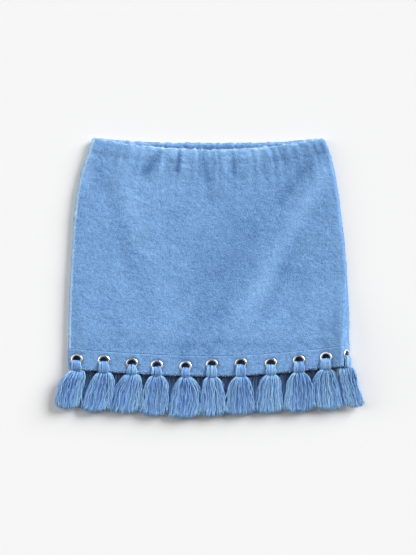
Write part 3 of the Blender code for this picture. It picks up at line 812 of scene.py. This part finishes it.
def add_back_panel():
    lower, upper = back_grid()
    distance = lower[:1, :, 1] - lower[..., 1]
    roll = edge_drop(distance, *BACK_ROLL)
    sink = SINK * smooth((distance - SINK_STARTS) / 5.0)
    sink *= 1.0 - smooth((distance - SINK_ENDS) / 10.0)
    upper[..., 2] += 0.9 * pile_height(upper + 50.0) - roll - sink
    uneven = 0.6 * noise(upper + 70.0, 4.5, 6) * fading(distance, 6.0)
    upper[..., 1] += uneven
    lower[..., 1] += uneven
    lower[..., 2] += 0.3 * np.abs(pile_height(lower + 90.0)) + 0.6 * roll
    faces = wall_faces(*lower.shape[:2])
    panel = add_piece("back_cloth", listed(lower, upper), faces, cloth_finish,
                      ["back_panel"])
    # painted highlight along the waist rim, painted shade on the inside below it, and random specks
    rim = fading(distance, 2.2)
    inside = -1.1 * smooth((distance - 2.5) / 4.0) - 3.3 * smooth((distance - 16.0) / 20.0)
    specks = 1.3 * noise(upper, 2.2, 9)
    painted_shading_and_tone = np.stack([2.4 * rim, 2.4 * rim + inside + specks])
    set_values(panel, "painted_shading_and_tone", painted_shading_and_tone.ravel())
    return panel, lower, upper


back_panel, back_points, back_surface = add_back_panel()
print("back:", back_points.shape, count_triangles(back_panel), "triangles")

# %% [markdown]
# ## Where the eyelets and tassels sit
# The eyelets were measured in the photograph, and each tassel's foot ends where the next one
# starts. One eyelet lies on the right fold and faces to the side. The back has nine more, halfway
# between those of the front, and they face down.

# %% Places of the eyelets and the tassels' feet
# columns: eyelet x, eyelet y, right-hand edge of the tassel's foot, y of its foot
FRONT_TASSELS = (
    (-159.8, -99.0, -156.0, -157.6),
    (-127.2, -100.2, -120.0, -161.0),
    (-93.6, -103.8, -82.8, -162.2),
    (-63.6, -106.2, -51.6, -166.2),
    (-29.2, -107.4, -12.0, -168.6),
    (2.4, -105.0, 18.0, -166.8),
    (37.2, -103.8, 54.0, -164.4),
    (73.2, -103.8, 87.6, -162.6),
    (106.8, -100.2, 123.6, -161.6),
    (139.2, -96.6, 162.0, -158.6),
    (163.8, -93.0, 184.8, -155.4),
)
FIRST_FOOT_X, FRONT_FOOT_Z, FOOT_GAP = -184.8, 8.2, 0.25
BACK_EYELETS_X = (-144.5, -110.4, -78.6, -46.4, -13.4, 19.8, 55.2, 90.0, 125.0)
# The back feet spread from the middle by this factor, and the last one leans on to the right.
BACK_SPREAD, BACK_LAST_LEAN = 1.04, 8.0
BACK_FOOT_HALF, BACK_FOOT_BELOW_HEM, BACK_FOOT_Z = 17.5, 48.5, 2.9
TILTED = {
    LEFT_SEAT[0]: (LEFT_SEAT[1], LEFT_TILT),
    LAST_SEAT[0]: (LAST_SEAT[1], LAST_TILT),
    RIGHT_SEAT[0]: (RIGHT_SEAT[1], RIGHT_TILT),
}


def eyelet_places():
    """Name, middle, tilt, and the foot's middle x, half width, y and z, for each eyelet."""
    places = []
    left = FIRST_FOOT_X
    for number, (x, y, right, foot_y) in enumerate(FRONT_TASSELS, 1):
        z, tilt = TILTED.get(x, (FRONT_BAND_Z, 0.0))
        name = "front_%02d" % number if number < len(FRONT_TASSELS) else "side_01"
        foot = ((left + right) / 2.0, (right - left) / 2.0 - FOOT_GAP, foot_y, FRONT_FOOT_Z)
        places.append((name, np.array((x, y, z)), tilt, foot))
        left = right
    for number, x in enumerate(BACK_EYELETS_X, 1):
        hem = float(hem_y(x))
        lean = BACK_LAST_LEAN if x == BACK_EYELETS_X[-1] else 0.0
        foot = (BACK_SPREAD * x + lean, BACK_FOOT_HALF, hem - BACK_FOOT_BELOW_HEM, BACK_FOOT_Z)
        centre = np.array((x, hem + BAND / 2.0, BACK_BAND_Z))
        places.append(("back_%02d" % number, centre, 180.0, foot))
    return places


def turned(points, centre, tilt):
    """Move points from an eyelet's own frame, whose Z is the way it faces, to the skirt's."""
    turn = np.array(Matrix.Rotation(math.radians(tilt), 3, "Y"))
    return points @ turn.T + centre


def faces_down(tilt):
    return tilt > 90.0


places = eyelet_places()
print("eyelets:", len(places))

# %% [markdown]
# ## The hem bands
# The band is a strip folded double, so its lower edge is a soft fold and its upper edge a seam that
# stands a little proud. Both edges get a painted highlight. Each eyelet clamps the cloth: there is a
# hole under the rim, and a shallow ring round it where the pile is pressed down and painted darker
# with shade. The inside of the band gets painted shade.

# %% Make the front and back bands
BAND_ROWS, FRONT_BAND_COLUMNS, BACK_BAND_COLUMNS = 23, 300, 290
# the cloth's hole under an eyelet, the ring that is pressed down, its fade and its depth
HOLE_RADIUS, PRESS_RADIUS, PRESS_FADE, PRESS_DEPTH = 5.5, 7.3, 3.2, 0.35
SEAM_ROLL, HEM_ROLL = (1.7, 0.10), (2.6, 1.35)
# painted shade on the inside of the bands
BAND_INSIDE_PAINTED_SHADE = -4.2


def band_wall(name, line, facing_up, replaced):
    """A band from the line of its outer face, with holes at its eyelets."""
    heights = np.linspace(BAND, 0.0, BAND_ROWS)
    x, z = line[None, :, 0], line[None, :, 1]
    y = hem_y(x) + heights[:, None]
    grid = joined(*np.broadcast_arrays(x, y, z))
    normals = grid_normals(grid)
    from_eyelet = np.full(grid.shape[:2], np.inf)
    for _, centre, tilt, _ in places:
        if faces_down(tilt) != facing_up:
            from_eyelet = np.minimum(from_eyelet, np.linalg.norm(grid - centre, axis=-1))
    pressed = 1.0 - smooth((from_eyelet - PRESS_RADIUS) / PRESS_FADE)
    from_top, from_foot = BAND - heights[:, None], heights[:, None]
    roll = edge_drop(from_top, *SEAM_ROLL) + edge_drop(from_foot, *HEM_ROLL)
    lift = pile_height(grid) * (1.0 - pressed) - PRESS_DEPTH * pressed - roll
    outer = grid + normals * lift[..., None]
    inner = grid - normals * (BAND_WALL - 0.8 * roll)[..., None]
    lowest = LOWEST if facing_up else grid[..., 2]
    outer[..., 2] = np.maximum(outer[..., 2], lowest)
    inside = from_eyelet < HOLE_RADIUS
    keep = ~(inside[:-1, :-1] | inside[1:, :-1] | inside[:-1, 1:] | inside[1:, 1:])
    faces = np.array(wall_faces(*grid.shape[:2], keep))
    used, faces = np.unique(faces, return_inverse=True)
    faces = faces.reshape(-1, 4).tolist()
    vertices = listed(outer, inner)[used]
    band = add_piece(name, vertices, faces, cloth_finish, [replaced])
    # painted highlight on both edges, painted shade in the pressed ring and on the inside
    pale = fading(from_foot, 1.8) + 0.5 * fading(from_top, 1.5)
    painted_shading_and_tone = strokes(PAINTED_SHADING_STROKES, grid[..., 0], grid[..., 1]) + 2.2 * pale - 1.2 * pressed
    painted_shading_and_tone = np.concatenate([painted_shading_and_tone.ravel(), np.full(painted_shading_and_tone.size, BAND_INSIDE_PAINTED_SHADE)])
    set_values(band, "painted_shading_and_tone", painted_shading_and_tone[used])
    return band, grid, outer


front_line = section(1.0, 8.0, MIDDLE_Z, 1.0, FRONT_BAND_COLUMNS, 0.0)[0]
across = np.linspace(front_line[-1, 0] + SEAM, front_line[0, 0] - SEAM, BACK_BAND_COLUMNS)
back_line = np.stack([across, hem_underside(across)], axis=-1)
front_band, front_band_points, front_band_surface = band_wall(
    "front_band", front_line, True, "front_hem_band")
back_band, back_band_points, _ = band_wall("back_band", back_line, False, "back_hem_band")
for band in (front_band, back_band):
    print(band.name, count_triangles(band), "triangles")

# %% [markdown]
# ## The eyelets
# An eyelet is stamped from thin brass: a rounded rim in front, a barrel through the cloth, and a
# flatter washer behind that the barrel is rolled over. Turning one profile round its axis gives all
# three at once, just as a press would.

# %% Turn the eyelets
# columns: radius, height above the band
EYELET_PROFILE = (
    (7.50, 0.05), (7.46, 0.34), (7.28, 0.62), (6.95, 0.86), (6.50, 1.02), (6.02, 1.06),
    (5.58, 0.96), (5.20, 0.72), (4.94, 0.36), (4.82, -0.10), (4.80, -1.60), (4.80, -3.20),
    (4.92, -3.52), (5.30, -3.72), (6.00, -3.74), (6.90, -3.56), (7.20, -3.26), (7.14, -3.08),
    (5.35, -3.08), (5.30, -1.50), (5.34, -0.05), (7.40, -0.05),
)
EYELET_SIDES = 40


def eyelet_mesh():
    profile = np.array(EYELET_PROFILE)
    turn = np.linspace(0.0, 2.0 * np.pi, EYELET_SIDES, endpoint=False)
    across = np.stack([np.cos(turn), np.sin(turn)], axis=-1)
    rings = profile[:, 0, None, None] * across
    heights = np.broadcast_to(profile[:, 1, None, None], (len(profile), EYELET_SIDES, 1))
    index = np.arange(len(profile) * EYELET_SIDES).reshape(len(profile), EYELET_SIDES)
    faces = ring_faces(index, np.roll(index, -1, axis=0))
    return np.concatenate([rings, heights], axis=-1).reshape(-1, 3), faces


eyelet_points, eyelet_faces = eyelet_mesh()
eyelets = []
for name, centre, tilt, _ in places:
    vertices = turned(eyelet_points, centre, tilt)
    eyelets.append(add_piece("eyelet_rim_" + name, vertices, eyelet_faces, nickel_finish,
                             ["eyelet_" + name]))
print("eyelets:", len(eyelets), "of", count_triangles(eyelets[0]), "triangles")

# %% [markdown]
# ## Lines and tubes
# Yarn is a tube along a smooth line. The two helpers below work on all strands of a tassel at
# once: one draws a smooth line through a few stations, and the other lays a ring of points round
# every point of every line and joins the rings.

# %% Smooth lines and tubes
def smooth_lines(stations, count):
    """Lines of count points through stations, an array of (strands, stations, 3)."""
    first = 2.0 * stations[:, :1] - stations[:, 1:2]
    last = 2.0 * stations[:, -1:] - stations[:, -2:-1]
    padded = np.concatenate([first, stations, last], axis=1)
    where = np.linspace(0.0, stations.shape[1] - 1.0, count)
    k = np.minimum(where.astype(int), stations.shape[1] - 2)
    t = (where - k)[None, :, None]
    a, b, c, d = (padded[:, k + m] for m in range(4))
    bend = (2.0 * a - 5.0 * b + 4.0 * c - d) * t ** 2 + (3.0 * b - a - 3.0 * c + d) * t ** 3
    return 0.5 * (2.0 * b + (c - a) * t + bend)


def tubes(lines, radius, sides, aside=(1.0, 0.0, 0.0)):
    """Closed tubes round lines; aside is a direction in which no line runs."""
    strands, stations = lines.shape[:2]
    along = unit(np.gradient(lines, axis=1))
    first = unit(np.cross(along, aside))
    second = np.cross(along, first)
    turn = (np.arange(sides) * 2.0 * np.pi / sides)[:, None]
    ring = first[:, :, None] * np.cos(turn) + second[:, :, None] * np.sin(turn)
    points = lines[:, :, None] + ring * np.broadcast_to(radius, (strands, stations))[..., None, None]
    index = np.arange(strands * stations * sides).reshape(strands, stations, sides)
    faces = ring_faces(index[:, :-1], index[:, 1:])
    faces += index[:, 0, ::-1].tolist() + index[:, -1].tolist()
    return points.reshape(-1, 3), faces


short_line = np.array([[(0.0, 0.0, 0.0), (0.0, 1.0, 0.0)]])
print("a tube of 2 points and 3 sides has", len(tubes(short_line, 0.1, 3)[1]), "faces")

# %% [markdown]
# ## The tassels
# A tassel is a hank of yarn pulled through its eyelet, folded down over the hem on both sides of
# the band, and bound once just below the hem edge. Below the binding it spreads into a bell with
# round shoulders. Each of its seventy yarns has a place, a lean, a wave and a tone of its own, and
# one side of each bell gets painted light and the other painted shade. In front it is three plies
# that wind round each other, and at the back, where little shows, one thicker strand. The cut ends
# are ragged and get a painted highlight. The imported middle of the hank is one closed core, so
# that no light passes between the yarns, and it gets painted shade.

# %% The shapes of the loop and the bell
# how far the tied head lies below the hem edge, and the height of its middle
HEAD, HANK_Z = 1.4, -0.9
# half width of a bell's dome, and how fast the bell goes over to its foot's half width
DOME_HALF, SPREAD_PACE = 15.0, 1.8
# the bell's middle rises from the tied head to its flare, and then sinks to the foot
FLARE_BELOW, FRONT_FLARE_Z, BACK_FLARE_Z = 6.0, 10.9, 4.4
# no yarn's middle lies lower than this over the table
YARN_LOWEST = 0.6
# Loop in front of the band and behind it, in the eyelet's own frame. y is measured from the
# eyelet's middle, or from the hem edge where "from hem" is 1.
# columns: from hem, half width, y inside, z inside, y outside, z outside
FRONT_LOOP = (
    (0, 4.0, -3.9, -2.0, -0.3, -2.0),
    (0, 5.2, -4.9, 1.3, -1.2, 3.0),
    (0, 6.5, -8.2, 1.5, -8.0, 3.6),
    (1, 6.3, 1.2, 1.0, 1.0, 3.1),
    (1, 5.4, -0.9, HANK_Z, -0.9, 2.1),
)
BACK_LOOP = (
    (0, 3.0, -3.9, -2.0, -0.9, -2.0),
    (0, 2.6, -3.6, -4.1, -1.6, -4.8),
    (0, 3.8, -8.0, -4.1, -7.8, -5.1),
    (1, 4.4, 0.4, -3.4, 0.2, -4.8),
    (1, 5.8, -0.9, HANK_Z, -0.9, -3.6),
)
# Bell below the head. Its half width starts from the dome's and goes over to the foot's.
# columns: distance below the head, share of that half width, half depth
BELL = (
    (0.0, 0.38, 3.0),
    (1.6, 0.52, 4.0),
    (4.2, 0.67, 4.7),
    (8.0, 0.81, 4.7),
    (12.0, 0.88, 4.2),
    (16.0, 0.93, 3.6),
    (20.5, 0.96, 3.1),
    (25.0, 0.98, 2.8),
    (29.5, 1.00, 2.5),
    (34.0, 1.01, 2.2),
    (38.5, 1.02, 2.0),
    (43.0, 1.03, 1.9),
    (47.0, 1.04, 1.8),
)


def hem_drop(centre):
    """How far below an eyelet's middle the hem edge lies, where it is lowest under the loop."""
    return centre[1] - float(min(hem_y(centre[0] + side) for side in (-6.5, 0.0, 6.5)))


def bell_root(centre, tilt):
    return turned(np.array((0.0, -hem_drop(centre) - HEAD, HANK_Z)), centre, tilt)


def fullness(centre):
    """Power of the bell's widths: the tassels near both ends have the roundest shoulders."""
    from_left = smooth((centre[0] + 100.0) / 60.0)
    from_right = smooth((155.0 - centre[0]) / 25.0)
    return 0.60 + 0.26 * float(from_left * from_right)


def bell_half(width, share, foot_half):
    """Half width of a bell at a share of its length."""
    return width * mix(DOME_HALF, foot_half, min(1.0, SPREAD_PACE * share))


def bell_height(below, root_z, foot_z, tilt):
    """Height of a bell's middle at a distance below its head."""
    flare_z = BACK_FLARE_Z if faces_down(tilt) else FRONT_FLARE_Z
    if below < FLARE_BELOW:
        return mix(root_z, flare_z, below / FLARE_BELOW)
    return mix(flare_z, foot_z, (below - FLARE_BELOW) / (BELL[-1][0] - FLARE_BELOW))


for number in (0, 4, 9):
    print(places[number][0], "fullness:", round(fullness(places[number][1]), 2))

# %% Draw the strands of a tassel
YARNS = 70
STRAND_POINTS = 24
# the back yarns end this much higher, so that the table shows between the front feet
BACK_SHORTER = 5.0
YARN_WAVE, SLOW_WAVE, PLY_WAVE, PLY_PITCH = 0.85, 0.30, 0.34, 1.9
WAVES_GROWN = 12.0


def tassel_lines(centre, tilt, foot, plies, seed):
    """Lines of all strands of a tassel, and each strand's tone with painted light and shade."""
    chance = np.random.default_rng(seed)
    foot_x, foot_half, foot_y, foot_z = foot
    flip = -1.0 if faces_down(tilt) else 1.0
    foot_y += BACK_SHORTER if faces_down(tilt) else 0.0
    drop = hem_drop(centre)
    # each yarn has its place, lean and wave, and its plies wind round it
    yarn_u = np.linspace(-0.94, 0.94, YARNS)[chance.permutation(YARNS)]
    u, layer, phase, lean, pace, tone_and_painted_light = np.repeat(np.stack([
        yarn_u, chance.random(YARNS), 6.28 * chance.random(YARNS),
        chance.normal(0.0, 1.0, YARNS), 2.6 + 1.8 * chance.random(YARNS),
        chance.normal(0.0, 0.7, YARNS)]), plies, axis=1)
    strands = len(u)
    sway, belly, turn_start = chance.normal(0.0, 1.0, 3)
    outside = np.repeat(np.arange(YARNS) % 3 != 0, plies)
    own = chance.random((3, strands)) * 2.0 - 1.0
    ply = np.tile(np.arange(plies) * 2.0 * np.pi / plies, YARNS) + phase
    stations = []
    for front_row, back_row in zip(FRONT_LOOP, BACK_LOOP):
        row = np.where(outside[:, None], front_row, back_row)
        base = np.where(row[:, 0] > 0.5, -drop, 0.0)
        local = joined(u * row[:, 1] + 0.4 * own[0], base + mix(row[:, 2], row[:, 4], layer),
                       mix(row[:, 3], row[:, 5], layer) + 0.2 * own[2])
        stations.append(turned(local, centre, tilt))
    root = bell_root(centre, tilt)
    depth = np.where(outside, layer, -layer) * flip
    length = root[1] - foot_y
    for below, width, half_depth in BELL:
        share = below / BELL[-1][0]
        grown = min(1.0, below / WAVES_GROWN)
        wind = ply + below / PLY_PITCH
        middle_part = math.sin(math.pi * share)
        width = width ** fullness(centre) * (1.0 + 0.06 * belly * middle_part)
        across = flip * u * bell_half(width, share, foot_half)
        across += 2.0 * share * lean + 1.3 * share * own[0] + 1.3 * sway * middle_part
        wave = YARN_WAVE * grown * np.sin(below / pace + phase) + PLY_WAVE * np.cos(wind)
        wave += SLOW_WAVE * grown * np.sin(below * 0.7 + 9.0 * own[2])
        x = mix(root[0], foot_x, share) + across + wave
        # the outer yarns run a longer way round the bell, so they end higher
        short = share * (2.6 * u ** 2 + 4.6 * u ** 4 + 0.2 + 0.4 * lean + 1.0 * own[1])
        y = root[1] - share * length + short
        z = bell_height(below, root[2], foot_z, tilt) + depth * half_depth
        z += 0.30 * grown * np.sin(wind) + 0.3 * share * own[2]
        stations.append(joined(x, y, np.maximum(z, YARN_LOWEST + 0.1)))
    lines = smooth_lines(np.stack(stations, axis=1), STRAND_POINTS)
    lines[..., 2] = np.maximum(lines[..., 2], YARN_LOWEST)
    # painted light and shade: one side of a bell is painted lighter than the other
    return lines, 0.9 * tone_and_painted_light + 0.4 * own[1] + 1.1 * np.sin(2.4 * u + 2.0 * turn_start)


print("yarns in a tassel:", YARNS, "points along each:", STRAND_POINTS)

# %% Fill the middle of a tassel, and darken what lies deep
CORE_SIDES = 24
CORE_WIDTH, CORE_DEPTH = 0.86, 0.45


def tassel_core(centre, tilt, foot):
    """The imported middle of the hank: one closed tube that keeps light from passing between."""
    foot_x, foot_half, foot_y, foot_z = foot
    root = bell_root(centre, tilt)
    turn = np.arange(CORE_SIDES) * 2.0 * np.pi / CORE_SIDES
    rings = []
    for below, width, half_depth in BELL:
        share = below / BELL[-1][0]
        half = bell_half(width ** fullness(centre), share, foot_half)
        x = mix(root[0], foot_x, share) + CORE_WIDTH * half * np.cos(turn)
        short = share * (2.0 + 6.6 * np.cos(turn) ** 2)
        y = root[1] - share * (root[1] - foot_y) + short
        z = bell_height(below, root[2], foot_z, tilt) + CORE_DEPTH * half_depth * np.sin(turn)
        rings.append(joined(x, y, np.maximum(z, YARN_LOWEST)))
    index = np.arange(len(rings) * CORE_SIDES).reshape(len(rings), CORE_SIDES)
    faces = ring_faces(index[:-1], index[1:]) + [index[0, ::-1].tolist(), index[-1].tolist()]
    return np.concatenate(rings), faces


def depth_in_shade(points, centre, tilt):
    """1 for yarn deep inside the stack below the hem, where painted shade darkens it."""
    below = hem_y(points[:, 0]) - points[:, 1]
    if faces_down(tilt):
        return 0.95 * smooth((24.0 - below) / 20.0)
    inside = smooth((centre[2] - 2.2 - points[:, 2]) / 3.0) * smooth((14.0 - below) / 6.0)
    return 0.85 * inside


print("points in a core:", len(tassel_core(*places[0][1:])[0]))

# %% Lay the tassels
FRONT_PLIES, BACK_PLIES, BACK_THICKER = 3, 1, 1.5
STRAND_RADII = ((0, 0.38), (6, 0.38), (9, 0.44), (20, 0.38))
CUT_POINTS, CUT_HIGHLIGHT = 4, 1.6
# painted shade on the closed core
CORE_PAINTED_SHADE = -1.5
FIRST_SEED = 100
STRAND_SIDES = 3

tassels = []
for number, (name, centre, tilt, foot) in enumerate(places):
    plies = BACK_PLIES if faces_down(tilt) else FRONT_PLIES
    lines, tone_and_painted_light = tassel_lines(centre, tilt, foot, plies, FIRST_SEED + number)
    thickness = table_column(STRAND_RADII, np.arange(STRAND_POINTS), 1)
    thickness *= 1.0 if plies == FRONT_PLIES else BACK_THICKER
    vertices, faces = tubes(lines, thickness, STRAND_SIDES)
    core_points, core_faces = tassel_core(centre, tilt, foot)
    faces += [[k + len(vertices) for k in face] for face in core_faces]
    vertices = np.concatenate([vertices, core_points])
    tassel = add_piece("yarn_" + name, vertices, faces, yarn_finish, ["tassel_" + name])
    # painted highlight: the cut ends are painted paler than the yarn above them
    cut = smooth((np.arange(STRAND_POINTS) - STRAND_POINTS + CUT_POINTS) / (CUT_POINTS - 1.0))
    values = np.repeat(tone_and_painted_light[:, None] + CUT_HIGHLIGHT * cut, STRAND_SIDES)
    set_values(tassel, "painted_shading_and_tone", values, CORE_PAINTED_SHADE)
    set_values(tassel, "deep", depth_in_shade(vertices, centre, tilt))
    tassels.append(tassel)
print("tassels:", len(tassels), "of", count_triangles(tassels[0]), "triangles")

# %% [markdown]
# ## The binding of each tassel
# A few turns of the same yarn, pulled tight, hold each tassel below the hem edge. They lie in the
# shade between the cloth and the bell, and that shade is painted into their dark finish, so they
# read as a narrow dark waist. They are flat rings wound one below the other.

# %% Bind the tassels
# painted shade: the binding yarn is painted darker than the tassels
BINDING_SHADE_LIGHT = (0.110, 0.240, 0.500, 1.0)
BINDING_SHADE_DARK = (0.055, 0.120, 0.260, 1.0)
TURNS, TURN_PITCH, BINDING_RADIUS = 2, 0.72, 0.42
TIE_HALF_WIDTH, TIE_HALF_DEPTH, TIE_BELOW_HEM = 6.3, 3.6, 0.4
ALONG_Y = (0.0, 1.0, 0.0)


def binding_lines(centre, tilt):
    turn = np.linspace(0.0, 2.0 * np.pi, 33)
    rings = []
    for k in range(TURNS):
        y = np.full(turn.shape, -hem_drop(centre) - TIE_BELOW_HEM - TURN_PITCH * k)
        ring = joined(TIE_HALF_WIDTH * np.cos(turn), y, HANK_Z + TIE_HALF_DEPTH * np.sin(turn))
        rings.append(turned(ring, centre, tilt))
    return np.array(rings)


dark_shade_yarn_finish = soft_yarn("blue binding yarn with painted shade", BINDING_SHADE_LIGHT, BINDING_SHADE_DARK)
rings = np.concatenate([binding_lines(centre, tilt) for _, centre, tilt, _ in places])
vertices, faces = tubes(rings, BINDING_RADIUS, 6, ALONG_Y)
bindings = add_piece("tassel_bindings", vertices, faces, dark_shade_yarn_finish)
print("bindings:", count_triangles(bindings), "triangles")

# %% [markdown]
# ## The stitches of the casing
# One row of stitches runs below the elastic. The thread takes the bindings' dark finish, which
# paints the shade of its groove, and lies sunk in that groove, so it shows only as small dashes.
# Each is a short tube that dips at both ends.

# %% Sew the casing
STITCH_SHARE = 0.72
THREAD_RADIUS = 0.26
# columns: share of a stitch's length, how deep the thread lies there
STITCH_SINK = ((0.0, 0.95), (0.5, 0.62), (1.0, 0.95))
# the columns of the front panel that lie on its top, clear of both folds
TOP_COLUMNS = slice(30, -16)


def stitch_lines():
    """Short lines along the groove, from the front panel's own points."""
    depths = front_points[:1, :, 1] - front_points[..., 1]
    row = int(np.argmin(np.abs(depths[:, depths.shape[1] // 2] - STITCH_DEPTH)))
    track = front_points[row, TOP_COLUMNS]
    length = np.concatenate([[0.0], np.cumsum(np.linalg.norm(np.diff(track, axis=0), axis=1))])
    starts = np.arange(1.0, length[-1] - 3.0, STITCH_PITCH)
    lines = []
    for share, sink in STITCH_SINK:
        place = starts + share * STITCH_SHARE * STITCH_PITCH
        points = joined(*(np.interp(place, length, track[:, k]) for k in range(3)))
        points[:, 2] -= sink
        lines.append(points)
    return np.stack(lines, axis=1)


stitch_points = smooth_lines(stitch_lines(), 5)
vertices, faces = tubes(stitch_points, THREAD_RADIUS, 5, ALONG_Y)
stitches = add_piece("casing_stitches", vertices, faces, dark_shade_yarn_finish)
print("stitches:", len(stitch_points))

# %% [markdown]
# ## The loops at the edges
# Terry has no sharp outline: at every edge and fold the loops stand out and catch the light, so
# the skirt seems to have a pale, fuzzy rim. Those loops are short curled tubes, scattered close
# together along the folds, the waist edges and the hem, and bent outwards there. Their finish is
# painted pale with the rim's highlight.

# %% Set loops along the edges
def loop_lines(points, normals, chance, height):
    """A curled strand of four points at each place; height is how far it stands out."""
    count = len(points)
    side = chance.normal(0.0, 1.0, (count, 3))
    side = unit(side - normals * (side * normals).sum(axis=-1, keepdims=True))
    tall = height * (0.6 + 0.8 * chance.random((count, 1)))
    stations = [points - normals * 0.5, points + normals * 0.6 * tall + side * 0.10,
                points + normals * tall + side * 0.55, points + normals * 0.35 * tall + side * 0.95]
    return np.stack(stations, axis=1)


def scatter(grid, normals, count, chance):
    """Random places on a grid of points, with their normals."""
    i = chance.integers(0, grid.shape[0] - 1, count)
    j = chance.integers(0, grid.shape[1] - 1, count)
    a, b = chance.random((2, count, 1))
    place = mix(mix(grid[i, j], grid[i, j + 1], a), mix(grid[i + 1, j], grid[i + 1, j + 1], a), b)
    return place, normals[i, j]


LOOP_HEIGHT, LOOP_RADIUS, LOOP_LOWEST, LOOP_SEED = 0.9, 0.2, 0.3, 7
# a direction in which no loop runs, for the start of its rings
LOOP_ASIDE = (0.31, 0.57, 0.76)


def edge_loops(name, areas):
    """areas holds grids, how many loops each takes, and a direction that bends them outwards."""
    chance = np.random.default_rng(LOOP_SEED)
    lines = []
    for grid, count, bend in areas:
        place, out = scatter(grid, grid_normals(grid), count, chance)
        lines.append(loop_lines(place, unit(out + np.array(bend)), chance, LOOP_HEIGHT))
    lines = np.concatenate(lines)
    lines[..., 2] = np.maximum(lines[..., 2], LOOP_LOWEST)
    vertices, faces = tubes(lines, LOOP_RADIUS, 3, LOOP_ASIDE)
    return add_piece(name, vertices, faces, loop_highlight_finish)


# painted highlight: the loops take the rim's pale colour
loop_highlight_finish = soft_yarn("loops with painted highlight", CLOTH_RIM_HIGHLIGHT, CLOTH_LIGHT)
rim_loops = edge_loops("edge_loops", (
    (front_surface[:, -16:-6], 2000, (-0.5, 0.0, 0.2)),
    (front_surface[:, 6:20], 900, (0.5, 0.0, 0.0)),
    (front_surface[:3, 20:-8], 800, (0.0, 0.8, 0.2)),
    (back_surface[:3], 900, (0.0, 1.4, 0.6)),
    (front_band_surface[-4:, 20:-8], 1300, (0.0, -0.6, 0.0)),
    (front_band_surface[:, -16:-6], 250, (-0.5, 0.0, 0.2)),
))
print("loops at the edges:", count_triangles(rim_loops), "triangles")

# %% [markdown]
# ## The table and the light
# The skirt lies on a matt, nearly white table. The strongest light comes low from the upper right:
# it rakes over the gathers and throws the soft shadow that lies to the left of the skirt and below
# it. A second low one from the left lights the left fold's rim, and a weak high one fills the
# hollows. The sky fills the rest evenly. A long lens high above keeps the outline free of
# perspective.

# %% Lay the table
TABLE_HALF = 3.0
TABLE_WHITE = (0.885, 0.885, 0.885, 1.0)

table_finish, table_shader, _ = new_finish("white table")
set_plain(table_shader, Base_Color=TABLE_WHITE, Roughness=1.0, Specular_IOR_Level=0.0)
corners = [(x * TABLE_HALF, y * TABLE_HALF, 0.0) for x, y in ((-1, -1), (1, -1), (1, 1), (-1, 1))]
floor_data = bpy.data.meshes.new("table")
floor_data.from_pydata(corners, [], [(0, 1, 2, 3)])
floor_data.materials.append(table_finish)
add_object("table", floor_data)
print("table:", 2.0 * TABLE_HALF, "m wide")

# %% Set up the sky, the lights and the camera
WHITE = (1.0, 1.0, 1.0, 1.0)
SKY_STRENGTH = 0.18
# columns: name, azimuth from +Y clockwise, elevation, strength, softness
SUNS = (
    ("key", -50.0, 58.0, 0.47, 30.0),
    ("side", 54.0, 26.0, 4.32, 36.0),
    ("rim", -74.0, 17.0, 1.48, 44.0),
)
LENS, SENSOR = 200.0, 36.0
# in metres: the picture's longer side, the height over the table at which it is measured, and
# the camera's x
VIEW_SIDE, VIEW_Z, CAMERA_X = 0.666, 0.010, -0.0024


def add_sun(name, azimuth, elevation, strength, softness):
    """A sun whose azimuth runs from +Y clockwise, as a compass does."""
    data = bpy.data.lights.new(name, "SUN")
    data.energy = strength
    data.angle = math.radians(softness)
    sun = add_object(name, data)
    turn, rise = math.radians(azimuth), math.radians(elevation)
    level = math.cos(rise)
    source = Vector((math.sin(turn) * level, math.cos(turn) * level, math.sin(rise)))
    sun.rotation_mode = "QUATERNION"
    sun.rotation_quaternion = source.to_track_quat("Z", "Y")


world = bpy.data.worlds.new("even sky")
world.use_nodes = True
set_plain(world.node_tree.nodes["Background"], Color=WHITE, Strength=SKY_STRENGTH)
bpy.context.scene.world = world
for sun in SUNS:
    add_sun(*sun)

camera_data = bpy.data.cameras.new("camera")
camera_data.lens = LENS
camera_data.sensor_width = SENSOR
camera_data.dof.use_dof = False
camera = add_object("camera", camera_data)
camera.location = (CAMERA_X, 0.0, VIEW_Z + VIEW_SIDE * LENS / SENSOR)
bpy.context.scene.camera = camera
bpy.context.scene.view_settings.view_transform = "Standard"
print("camera height:", round(camera.location.z, 3), "m")

# %% [markdown]
# Each sheet's area and the widths of its rows are printed. The sizes are those of what shows, seams
# left out: the waist is gathered, so the cut is wider than the finished waist. Last, the pieces and
# their triangles are counted.

def grid_area(grid):
    """Area of a grid of points, in square metres."""
    first = np.cross(grid[1:, 1:] - grid[:-1, :-1], grid[1:, :-1] - grid[:-1, 1:])
    return float(np.linalg.norm(first, axis=-1).sum() / 2.0) * MM * MM


measured = {
    "front": front_points,
    "back": back_points,
    "front band": front_band_points,
    "back band": back_band_points,
}
for label, grid in measured.items():
    widths = np.linalg.norm(np.diff(grid, axis=1), axis=-1).sum(axis=1)
    print(label, "area", round(grid_area(grid), 4), "widths", widths.min().round(1),
          widths.max().round(1))

hung_front, hung_back = [], []
for group in (eyelets, tassels):
    for piece, place in zip(group, places):
        (hung_back if faces_down(place[2]) else hung_front).append(piece)

pieces = [front_panel, back_panel, front_band, back_band, bindings, stitches, rim_loops]
pieces += eyelets + tassels
print("pieces:", len(pieces), "triangles:", sum(count_triangles(piece) for piece in pieces))
